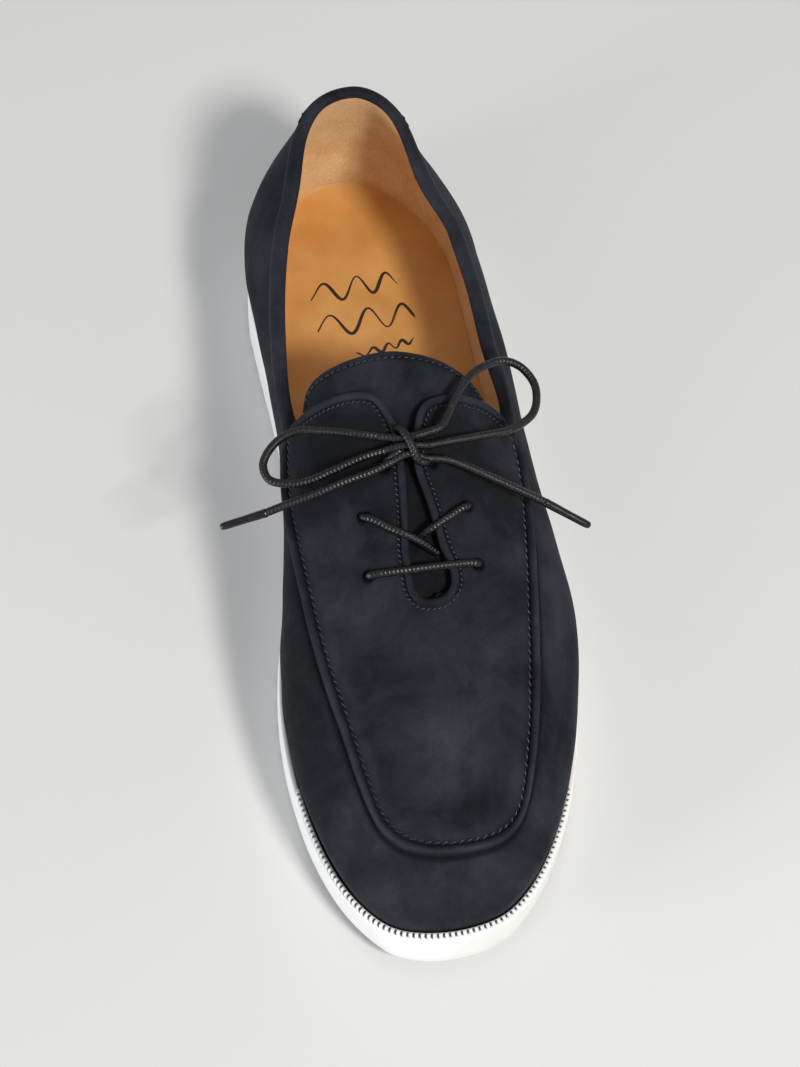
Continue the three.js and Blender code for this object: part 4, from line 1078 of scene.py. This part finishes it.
# %% Heel tab
heel_rows = np.arange(COUNT)[is_heel]
back = vamp_points[heel_rows]
reach_round = np.cumsum(np.linalg.norm(np.diff(back[:, -4], axis=0, prepend=back[:1, -4]), axis=1))
reach_round -= reach_round[len(heel_rows) // 2] - 1.0
tall = np.arange(2, band.shape[1] - 3)
drop = np.linspace(1, 0, len(tall))                   # 1 at the sole, 0 at the collar
half_tab = 25.5 - 11.5 * smooth(drop * 1.4)
across = np.linspace(-1, 1, 61)
tab_at = across[:, None] * half_tab[None, :]
tab_core = np.stack([read_at(tab_at[:, j], reach_round, back[:, k]) for j, k in enumerate(tall)], 1)
tab_out = np.stack([read_at(tab_at[:, j], reach_round, out[heel_rows, k]) for j, k in enumerate(tall)], 1)
side_room = (1 - np.abs(across))[:, None] * half_tab[None, :]
tab_lift = (1.15 * smooth(side_room / 0.9) - 0.25 - 0.2 * bump(side_room, 2.6, 0.5)
            - 0.9 * (1 - smooth((len(tall) - 1 - np.arange(len(tall))) / 2.0))[None, :])
tab_points = tab_core + tab_out * tab_lift[..., None]
# The tone paints shade into the stitch grooves beside the edges; the edges themselves are drawn lighter.
tab = mesh_piece("heel_tab", tab_points, quads_of(*tab_points.shape[:2], flip=True), nubuck,
                 tone=0.52 - 0.4 * bump(side_room, 2.6, 0.5) + 0.15 * bump(side_room, 0.4, 0.5))
thicken(tab, "tab thickness", 0.8)
settle(tab, "navy_nubuck")
print("heel tab from z", round(float(tab_points[..., 2].min()), 1), "to",
      round(float(tab_points[..., 2].max()), 1), "mm")

# %% [markdown]
# ## Suede lining
# The lining lies inside the quarters from the insole up to the binding, and its raw upper edge
# is a little ragged. It is the band again, moved in along its own normals.

# %% Lining
inside_rows = np.arange(0, band.shape[1] - 12)
lining_ring = band[:, inside_rows] - out[:, inside_rows] * (2.75 + 0.4 * seam_weight)[..., None]
edge_rows = np.clip((from_edge[:, inside_rows] - 4.6) / 3.0, 0, 1)
rag = 0.55 * np.sin(np.arange(COUNT) * 1.7) + 0.4 * np.sin(np.arange(COUNT) * 2.9 + 1)
lining_ring[..., 2] += ((1 - edge_rows) ** 2) * rag[:, None] * 0.6
lining_faces = quads_of(COUNT, len(inside_rows), closed_rows=True, flip=True)
lining = mesh_piece("suede_lining", lining_ring, lining_faces, suede,
                    tone=np.full(lining_ring.shape[:2], 0.5), merge=0.004)
thicken(lining, "suede thickness", 0.9, offset=1.0)
settle(lining, "tan_leather")

# %% [markdown]
# ## Tongue
# The tongue lies under the facings, a bit padded, with its rounded top edge sewn 3 mm in. It
# is a sheet laid a little below the last's surface, and raised beyond the facings' edge.

# %% Tongue
TONGUE_TOP = np.array([
    [-1.00, 25.5], [-0.92, 30.8], [-0.80, 33.8], [-0.50, 35.0], [0.00, 34.4], [0.40, 32.2],
    [0.64, 29.0], [0.85, 24.8], [1.00, 20.0]])


def tongue_plan(t, v):
    """A place on the tongue: t from its foot to its top edge, v from -1 to 1 across."""
    top = cubic(TONGUE_TOP[:, 0], TONGUE_TOP[:, 1], v)
    half = 20 + 13 * t ** 0.8
    return np.stack(np.broadcast_arrays(v * half, -58 + (top + 58) * t), -1)


t, v = np.meshgrid(np.linspace(0, 1, 150), np.linspace(-1, 1, 90), indexing="ij")
plan = tongue_plan(t, v)
rim = np.minimum((1 - t) * 90, (1 - np.abs(v)) * 30)
lift = (-3.7 - 1.1 * np.exp(-(rim / 1.6) ** 1.5)
        + 3.8 * smooth((plan[..., 1] - 9) / 22) * (1 - 0.45 * v ** 4)
        - 0.28 * bump((1 - t) * 90, 3.0, 0.5) + 0.6 * unevenness(plan[..., 0], plan[..., 1], 4.0))
points = on_leather(plan, lift)
# The tone paints shade into the stitch groove and over the tongue's lower part, which lies in the slit's
# shade; its edge is drawn lighter.
tongue = mesh_piece("tongue_leather", points, quads_of(*t.shape), nubuck, uv=plan,
                    tone=(0.46 - 0.3 * bump((1 - t) * 90, 3.0, 0.5) + 0.15 * np.exp(-(rim / 1.2) ** 2)
                          - 0.4 * (1 - smooth((plan[..., 1] - 4) / 12))))
thicken(tongue, "padded leather", 2.2)
settle(tongue, "navy_nubuck", "tongue")

# %% [markdown]
# ## Insole
# The insole fills the shoe from wall to wall, slightly dished under the heel, and its edge turns
# up a little at the wall. The printed mark is a generic one: three hand-drawn waves in dark ink.

# %% Insole
def feather_line(st, outset):
    """The sole's edge in plan at each station, moved out along its own normal. The outset is a
    number, or a function of y and of how far the normal faces forward."""
    plan = np.stack([st["base_mid"] + st["dx"] * st["base"], st["y"] + st["dy"] * st["base"]], -1)[:, 0]
    way = np.roll(plan, -1, 0) - np.roll(plan, 1, 0)
    normal = unit(np.stack([way[:, 1], -way[:, 0]], 1))
    reach = outset(plan[:, 1], np.maximum(0, -normal[:, 1])) if callable(outset) else outset
    return plan + normal * np.asarray(reach).reshape(-1, 1)


def pan_across(line, toe_at, share):
    """Points between each station and the one opposite it, by share of the way. toe_at is the
    number of the station at the toe."""
    opposite = line[(2 * toe_at - np.arange(len(line))) % len(line)]
    return line[:, None] + (opposite - line)[:, None] * share[None, :, None]


INSOLE = 3.5                        # the sock's upper face above the gap over the plate
insole_edge = feather_line(ring, -2.35)
share = np.concatenate([np.linspace(0, 0.06, 5), np.linspace(0.1, 0.5, 14)])
plan = pan_across(insole_edge, toe, share)
distance = np.linalg.norm(plan - insole_edge[:, None], axis=-1)
level = plate_z(plan[..., 1]) + GAP + INSOLE
dish = -0.9 * smooth(distance / 22) * smooth((plan[..., 1] - 40) / 40) + 0.3 * np.exp(-(distance / 1.6) ** 2)
insole = mesh_piece("insole_leather", with_height(plan, level + dish),
                    quads_of(COUNT, len(share), closed_rows=True, flip=True), smooth_tan, merge=0.02)
thicken(insole, "sock thickness", 3.0)
settle(insole, "tan_leather", "insole")

# %% Wave mark in ink
ink, tree, shader = start_material("brown_black_ink")
body = add(tree, "ShaderNodeTexCoord")
worn = add(tree, "ShaderNodeTexNoise", Vector=body.outputs["Object"], Scale=grain(2.5), Detail=4.0)
ink_tint = add(tree, "ShaderNodeMix", {"data_type": "RGBA"}, i0=worn.outputs["Fac"],
               i6=linear("#1c120c"), i7=linear("#3a2616"))
feed(tree, shader, Base_Color=ink_tint.outputs[2], Roughness=0.45)
WAVES = [
    # y, x, half-length, height, periods
    [98, -4.5, 18, 4.2, 3.0], [84, -2.5, 24, 4.6, 3.5], [72, 5.0, 11, 1.4, 4.0]]
grids = []
for middle_y, wave_x, reach, height, periods in WAVES:
    t = np.linspace(-1, 1, 160)
    x = wave_x + reach * t
    y = middle_y + height * np.sin(np.pi * periods * (t + 0.12 * t * t)) * (1 - 0.35 * t * t) + 2.0 * t
    width = 0.55 * (1 - t ** 8) * (0.75 + 0.35 * np.sin(7 * t + middle_y)) + 0.05
    line = np.stack([x, y], 1)
    pair = np.stack([offset_plan(line, width), offset_plan(line, -width)], 1)
    lift_ink = plate_z(pair[..., 1]) + 3.8 + 0.1 - 0.9 * smooth((pair[..., 1] - 40) / 40)
    grids.append(with_height(pair, lift_ink))
mark = mesh_piece("ink_wave_mark", *joined(grids, [quads_of(160, 2)] * len(WAVES)), ink)
settle(mark, "tan_leather")

# %% [markdown]
# ## White cupsole
# The sole is one moulding of white rubber: a tread, a side wall, and a rim that the upper sits
# in. The wall stands out more at the toe as a bumper. Grooves cross the tread, each 2.2 mm wide.
# White rubber is satin and faintly mottled; its lowest 5 mm is greyer, a painted shade near the floor.

# %% White rubber
rubber, tree, shader = start_material("white_moulded_rubber")
body = add(tree, "ShaderNodeTexCoord")
soil = add(tree, "ShaderNodeTexNoise", Vector=body.outputs["Object"], Scale=grain(14), Detail=5.0,
           Roughness=0.65)
grit = add(tree, "ShaderNodeTexNoise", Vector=body.outputs["Object"], Scale=grain(0.8), Detail=2.0)
tone = add(tree, "ShaderNodeAttribute", {"attribute_name": "tone"})
# Real soil mottling, plus the tone's painted shade near the floor.
soil_and_shade = add(tree, "ShaderNodeMath", {"operation": "MULTIPLY_ADD"}, i0=add(
    tree, "ShaderNodeMapRange", Value=soil.outputs["Fac"], From_Min=0.45, From_Max=0.75,
    To_Max=0.2).outputs[0], i1=1.0, i2=tone.outputs["Fac"])
white = add(tree, "ShaderNodeMix", {"data_type": "RGBA"}, i0=soil_and_shade.outputs[0],
            i6=linear("#f3f3f1"), i7=linear("#cfceca"))
rubber_relief = add(tree, "ShaderNodeBump", Strength=0.25, Distance=0.00015, Height=grit.outputs["Fac"])
feed(tree, shader, Base_Color=white.outputs[2], Normal=rubber_relief.outputs[0], Roughness=0.52, IOR=1.5)

# %% Cupsole
GROOVES = [-70, -61, -52, -43, 70, 79, 88, 97, 106]
groove_ys = np.concatenate([[g + k for k in (-1.3, -1.05, 1.05, 1.3)] for g in GROOVES])
groove_ys = groove_ys[groove_ys < HEEL_AXIS]
sole_ys = np.unique(np.round(np.concatenate([
    TOE_TIP + 82.5 * np.linspace(0, 1, 90) ** 2, np.linspace(-60, HEEL_AXIS, 100), groove_ys]), 4))[::-1]
sole_ring = stations(sole_ys, 100)
sole_toe = len(sole_ys) - 1
ROUNDING = 1.4                      # radius of the sole's lower edge


def rim_out(y, forward):
    """How far the wall stands out from the sole's edge at the rim."""
    return 2.4 + 0.5 * smooth((-70 - y) / 40)


def foot_out(y, forward):
    """And at its foot, with the bumper at the toe."""
    return rim_out(y, forward) + 0.5 + 3.2 * forward ** 4


def groove_depth(y):
    """1.5 mm inside each groove across the tread, 0 elsewhere."""
    inside = np.zeros(np.shape(y))
    for g in GROOVES:
        inside = np.maximum(inside, 1 - smooth((np.abs(y - g) - 1.05) / 0.25))
    return 1.5 * inside


def sole_line(outset, height):
    """A line round the sole: outset and height are functions of y, outset also of how far the
    edge faces forward."""
    line = feather_line(sole_ring, outset)
    return with_height(line, height(line[:, 1]))


walk_line = feather_line(sole_ring, lambda y, f: foot_out(y, f) - ROUNDING)
levels = []
for share in (0.0, 0.35, 0.7, 1.0):                  # round the lower edge
    swing = share * np.pi / 2
    levels.append(sole_line(
        lambda y, f: foot_out(y, f) - ROUNDING + ROUNDING * math.sin(swing),
        lambda y: spring_z(y) + ROUNDING * (1 - math.cos(swing)) + groove_depth(y) * (1 - share)))
for share in (0.12, 0.3, 0.5, 0.7, 0.86):            # up the wall, which swells a little
    levels.append(sole_line(
        lambda y, f: foot_out(y, f) * (1 - share) + rim_out(y, f) * share + 0.25 * math.sin(math.pi * share),
        lambda y: (spring_z(y) + ROUNDING) * (1 - share) + (rim_z(y) - 0.7) * share))
for inward, down in ((0.0, 0.7), (0.08, 0.35), (0.3, 0.1), (0.7, 0.0), (1.3, 0.0), (1.75, 0.1), (1.95, 0.6)):
    levels.append(sole_line(lambda y, f: rim_out(y, f) - inward, lambda y: rim_z(y) - down))
levels.append(sole_line(0.35, plate_z))
wall_grid = np.stack(levels, 1)
share = np.linspace(0, 0.5, 9)
tread = pan_across(walk_line, sole_toe, share)
tread = with_height(tread, spring_z(tread[..., 1]) + groove_depth(tread[..., 1]))
plate = pan_across(wall_grid[:, -1, :2], sole_toe, share)
plate = with_height(plate, plate_z(plate[..., 1]))
sole_grid = np.concatenate([tread[:, ::-1], wall_grid[:, 1:], plate[:, 1:]], 1)
# Painted shade: the lowest 5 mm of the sole, near the floor, is drawn greyer.
low_shade = 0.35 * smooth((5 - sole_grid[..., 2] + spring_z(sole_grid[..., 1])) / 5)
sole = mesh_piece("white_cupsole", sole_grid,
                  quads_of(*sole_grid.shape[:2], closed_rows=True, flip=True),
                  rubber, tone=low_shade, merge=0.02)
settle(sole, "white_rubber", "sole")

# %% [markdown]
# ## Ribbed strip round the toe
# A narrow strip of white rubber lies on the rim round the toe, with fine slanted ribs about
# 2 mm apart. The ribs are real: the strip's outer face is a wave along its length, whose phase
# slides with height so that the ribs lean.

# %% Ribbed strip
ribbed, tree, shader = start_material("white_ribbed_rubber")   # the grooves between the ribs are painted dark, as painted shade
tone = add(tree, "ShaderNodeAttribute", {"attribute_name": "tone"})
body = add(tree, "ShaderNodeTexCoord")
dust = add(tree, "ShaderNodeTexNoise", Vector=body.outputs["Object"], Scale=grain(3), Detail=4.0)
dust_and_shade = add(tree, "ShaderNodeMath", {"operation": "MULTIPLY_ADD"}, i0=dust.outputs["Fac"], i1=0.35,
           i2=tone.outputs["Fac"])
rib_tint = add(tree, "ShaderNodeMix", {"data_type": "RGBA"}, i0=add(
    tree, "ShaderNodeMapRange", Value=dust_and_shade.outputs[0], From_Min=0.2, From_Max=1.0).outputs[0],
    i6=linear("#f8f8f6"), i7=linear("#3a3b40"))
feed(tree, shader, Base_Color=rib_tint.outputs[2], Roughness=0.5, IOR=1.5)

strip_ring = stations((TOE_TIP + 82.5 * np.linspace(0, 1, 700) ** 2)[::-1], 4)
line_in = feather_line(strip_ring, 0.8)
sides_count = len(strip_ring["y"]) - 3
strip_end = np.where(strip_ring["dx"][:sides_count, 0] < 0, -88.0, -98.0)
path = line_in[:sides_count][strip_ring["y"][:sides_count, 0] < strip_end]
run = run_along(path)
PITCH = 1.9
count = int(run[-1] / PITCH * 16)
even = np.linspace(0, run[-1], count)
path = read_at(even, run, path)
way = unit(np.gradient(path, axis=0))
normal = np.stack([way[:, 1], -way[:, 0]], 1)
profile = np.array([[0.0, 0.0], [1.45, 0.0], [1.6, 0.25], [1.6, 0.9], [1.58, 1.5], [1.45, 2.0],
                    [1.1, 2.3], [0.55, 2.35], [0.0, 2.2]])
rib_part = np.array([0, 0.6, 1, 1, 1, 1, 0.9, 0.5, 0])
phase = even[:, None] / PITCH * 2 * np.pi + profile[None, :, 1] * 0.8 + profile[None, :, 0] * 0.5
swell = smooth((np.cos(phase) + 0.75) / 0.9)
ribs = 0.75 * (swell - 1.0) * rib_part[None, :]
ends = smooth(np.minimum(even, even[-1] - even) / 2.0)[:, None]
reach = profile[None, :, 0] * (0.35 + 0.65 * ends) + ribs
rise = profile[None, :, 1] * (0.35 + 0.65 * ends) + 0.4 * ribs
strip_plan = path[:, None] + normal[:, None] * reach[..., None]
base_z = rim_z(path[:, 1]) + 0.15
strip_points = with_height(strip_plan, base_z[:, None] + rise)
# Painted shade: the grooves between the ribs are painted dark grey.
gap_shade = (1 - swell) * np.minimum(1, 1.6 * rib_part[None, :])
strip = mesh_piece("ribbed_toe_strip", strip_points,
                   quads_of(count, len(profile), closed_columns=True, flip=True), ribbed, tone=gap_shade)
print("ribs:", int(run[-1] / PITCH), "over", round(float(run[-1])), "mm")
settle(strip, "white_rubber", "toe_rand")

# %% [markdown]
# ## Stitches
# Stitches are short lengths of waxed thread, each in a small slanted bulge. One stitch is a
# spindle with a few dozen faces; a line of them is that spindle placed many times along a
# route, all at once.

# %% Thread
thread, tree, shader = start_material("waxed_polyester_thread")
body = add(tree, "ShaderNodeTexCoord")
twist = add(tree, "ShaderNodeTexNoise", Vector=body.outputs["Object"], Scale=grain(0.5), Detail=2.0)
thread_tint = add(tree, "ShaderNodeMix", {"data_type": "RGBA"}, i0=add(
    tree, "ShaderNodeMapRange", Value=twist.outputs["Fac"], From_Min=0.4, From_Max=0.65).outputs[0],
    i6=linear("#050609"), i7=linear("#2c2e40"))
feed(tree, shader, Base_Color=thread_tint.outputs[2], Roughness=0.38, IOR=1.5)

dark_thread, tree, shader = start_material("matt_polyester_thread")
body = add(tree, "ShaderNodeTexCoord")
twist = add(tree, "ShaderNodeTexNoise", Vector=body.outputs["Object"], Scale=grain(0.5), Detail=2.0)
thread_tint = add(tree, "ShaderNodeMix", {"data_type": "RGBA"}, i0=twist.outputs["Fac"],
                  i6=linear("#040508"), i7=linear("#0d0f18"))
feed(tree, shader, Base_Color=thread_tint.outputs[2], Roughness=0.6)


def stitch_row(name, line, normals, pitch, length, radius, slant, material):
    """Spindles along a line, pitch mm apart. Each is an ellipsoid of the length and radius given,
    turned by slant (radians) in the surface."""
    run = run_along(line)
    at = np.arange(pitch / 2, run[-1], pitch)
    place = read_at(at, run, line)
    up = unit(read_at(at, run, normals))
    way = read_at(at + 0.3, run, line) - place
    way = way - up * (way * up).sum(1)[:, None]
    way /= np.maximum(1e-9, np.linalg.norm(way, axis=1))[:, None]
    side = np.cross(up, way)
    wobble = 0.16 * np.sin(np.arange(len(at)) * 2.7)
    c, s = np.cos(slant + wobble)[:, None], np.sin(slant + wobble)[:, None]
    way, side = c * way + s * side, c * side - s * way
    u = np.linspace(0, np.pi, 7)
    w = np.linspace(0, 2 * np.pi, 8, endpoint=False)
    body = np.stack(np.broadcast_arrays(
        -0.5 * length * np.cos(u)[:, None], radius * (np.sin(u) ** 0.7)[:, None] * np.cos(w),
        radius * (np.sin(u) ** 0.7)[:, None] * np.sin(w)), -1)
    points = (place[:, None, None] + way[:, None, None] * body[None, ..., :1]
              + side[:, None, None] * body[None, ..., 1:2] + up[:, None, None] * body[None, ..., 2:3])
    one = quads_of(*body.shape[:2], closed_columns=True)
    quads = (one[None] + body[..., 0].size * np.arange(len(at))[:, None, None]).reshape(-1, 4)
    piece = mesh_piece(name, points, quads, material, merge=0.001)
    print(name, len(at), "stitches")
    return settle(piece, "navy_nubuck")


# %% Seams
seam_y = SEAM_Y + 140.7 * np.linspace(0, 1, 500) ** 2
medial_line = np.stack([seam_x(SEAM_MEDIAL, seam_y), seam_y], 1)
seam_y = SEAM_Y + 131.1 * np.linspace(0, 1, 500) ** 2
lateral_line = np.stack([seam_x(SEAM_LATERAL, seam_y), seam_y], 1)
seam_line = spline(np.concatenate([medial_line[::-1], lateral_line[1:]])[::12], 900)
seam_line = offset_plan(seam_line, 0.55)
stitch_row("moccasin_seam_stitches", on_leather(seam_line, np.full(len(seam_line), -0.15)),
           roof_normal(seam_line[:, 0], seam_line[:, 1]), 2.6, 2.5, 0.38, 0.5, thread)

beside = offset_plan(edge, 3.0)
stitch_row("throat_stitches", on_leather(beside, np.full(len(beside), 0.05)),
           roof_normal(beside[:, 0], beside[:, 1]), 1.8, 1.5, 0.4, 0.65, thread)

v = np.linspace(-0.97, 0.97, 240)
top = tongue_plan(np.ones_like(v) * (1 - 3.0 / 90), v)
stitch_row("tongue_stitches", on_leather(
    top, -3.8 + 3.8 * smooth((top[:, 1] - 9) / 22) * (1 - 0.45 * v ** 4)),
           roof_normal(top[:, 0], top[:, 1]), 2.3, 1.6, 0.36, 0.25, thread)

for side, column in (("lateral", 5), ("medial", -6)):
    away = tab_out[column, 1:-2]
    stitch_row("heel_tab_stitches_" + side, tab_core[column, 1:-2] + away * 0.95, away,
               2.2, 1.7, 0.32, 0.15, dark_thread)

# %% [markdown]
# ## Lacing
# The lowest row is a straight bar. In the middle row a strand comes out of each eyelet, and the
# two cross as they dive into the slit. Both rest on the leather at the same height as in the
# CAD model.

# %% Bar and crossing
REST = LACE / 2 + 0.4
(bar_y, bar_medial, bar_lateral), (cross_y, cross_medial, cross_lateral) = EYELETS[:2]
bar_route = np.array([
    [bar_medial + 0.3, bar_y, -2.2], [bar_medial + 0.1, bar_y, -0.2], [bar_medial + 0.9, bar_y, 1.2],
    [bar_medial + 3.2, bar_y, REST], [-9, bar_y - 0.2, REST], [0, bar_y - 0.3, REST - 0.1],
    [9, bar_y, REST], [bar_lateral - 3.2, bar_y + 0.2, REST], [bar_lateral - 0.9, bar_y, 1.2],
    [bar_lateral - 0.1, bar_y, -0.2], [bar_lateral - 0.3, bar_y, -2.2]])
over_route = np.array([
    [cross_medial + 0.3, cross_y, -2.2], [cross_medial, cross_y, -0.2],
    [cross_medial + 0.9, cross_y - 0.6, 1.3], [cross_medial + 3.2, cross_y - 1.7, REST],
    [-9, -22.9, REST], [-4.5, -25.7, 2.1], [-1.0, -27.8, 1.4], [2.0, -29.7, -0.1],
    [4.6, -31.4, -1.6], [6.2, -32.4, -2.4]])
under_route = np.array([
    [cross_lateral - 0.3, cross_y, -2.2], [cross_lateral, cross_y, -0.2],
    [cross_lateral - 0.9, cross_y - 0.5, 1.3], [cross_lateral - 3.2, cross_y - 1.4, REST],
    [11, -21.6, REST], [7.0, -23.8, 2.0], [3.6, -25.6, 0.8], [1.2, -26.9, -0.8],
    [-0.6, -27.8, -1.9]])
for name, route, node in (("lace_bar_strand", bar_route, "lace_bar"),
                          ("lace_medial_strand", over_route, "lace_crossing"),
                          ("lace_lateral_strand", under_route, "lace_crossing")):
    path = spline(on_leather(route[:, :2], route[:, 2]), 120)
    piece = tube_piece(name, path, LACE / 2, waxed_cord)
    settle(piece, "waxed_lace", node)

# %% [markdown]
# ## The knot
# The knot is the same lace pulled tight: a strand from each top eyelet, the two loops and ends
# meeting in a bundle, and one turn over the top that holds them. They are laid over one another
# to look tied, and aren't one continuous knot. The turn is pulled a little thinner.

# %% Knot
top_y, top_medial, top_lateral = EYELETS[2]
feed_medial = on_leather([[top_medial, top_y]], np.array([-1.6]))[0]
feed_lateral = on_leather([[top_lateral, top_y]], np.array([-1.6]))[0]
KNOT_STRANDS = {
    "turn": [[-1.9, 3.8, 81.9], [-2.4, 5.6, 83.4], [-2.0, 5.2, 85.9], [-0.9, 3.0, 87.6],
             [0.2, 0.2, 88.1], [1.2, -2.6, 87.0], [2.2, -4.9, 85.0], [3.4, -6.0, 83.2],
             [5.2, -5.9, 82.2], feed_lateral + [0.0, 0.6, 2.0], feed_lateral],
    "feed": [feed_medial, feed_medial + [0.2, 0.4, 2.2], [-4.6, -2.6, 83.0], [-1.8, -1.0, 83.0],
             [1.4, 0.4, 83.2]],
    "medial_core": [[-8.5, 3.5, 84.6], [-6.2, 3.0, 84.6], [-3.0, 2.3, 84.8], [0.4, 1.9, 85.4],
                    [3.6, 2.0, 86.0], [6.2, 2.4, 86.2], [8.2, 2.9, 86.4]],
    "lateral_core": [[-8.6, -1.0, 82.9], [-6.6, -0.8, 83.4], [-3.2, -0.6, 84.4], [0.0, -0.6, 84.9],
                     [3.4, -0.7, 84.5], [6.8, -0.8, 83.8], [8.8, -0.6, 83.7]],
    "end_core": [[-7.2, -5.3, 82.2], [-5.2, -4.6, 82.6], [-2.4, -3.6, 83.4], [0.2, -3.2, 83.9],
                 [2.8, -3.6, 83.2], [5.4, -4.4, 82.0], [7.4, -4.8, 81.8]]}
strands = [tube_grid(spline(route, 60), LACE / 2 * (0.97 if name == "turn" else 1.0))
           for name, route in KNOT_STRANDS.items()]
knot_points, quads = joined([grid for grid, uv in strands],
                            [quads_of(*grid.shape[:2], flip=True) for grid, uv in strands])
knot = mesh_piece("lace_knot_tied", knot_points, quads, waxed_cord,
                  uv=np.concatenate([uv.reshape(-1, 2) for grid, uv in strands]), merge=0.002)
settle(knot, "waxed_lace", "lace_knot")

# %% [markdown]
# ## The visual model's box
# The box round all shown pieces, the floor left out. The visual model must stay inside
# the CAD model's box, apart from a few millimetres.

# %% Finish
low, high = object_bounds()
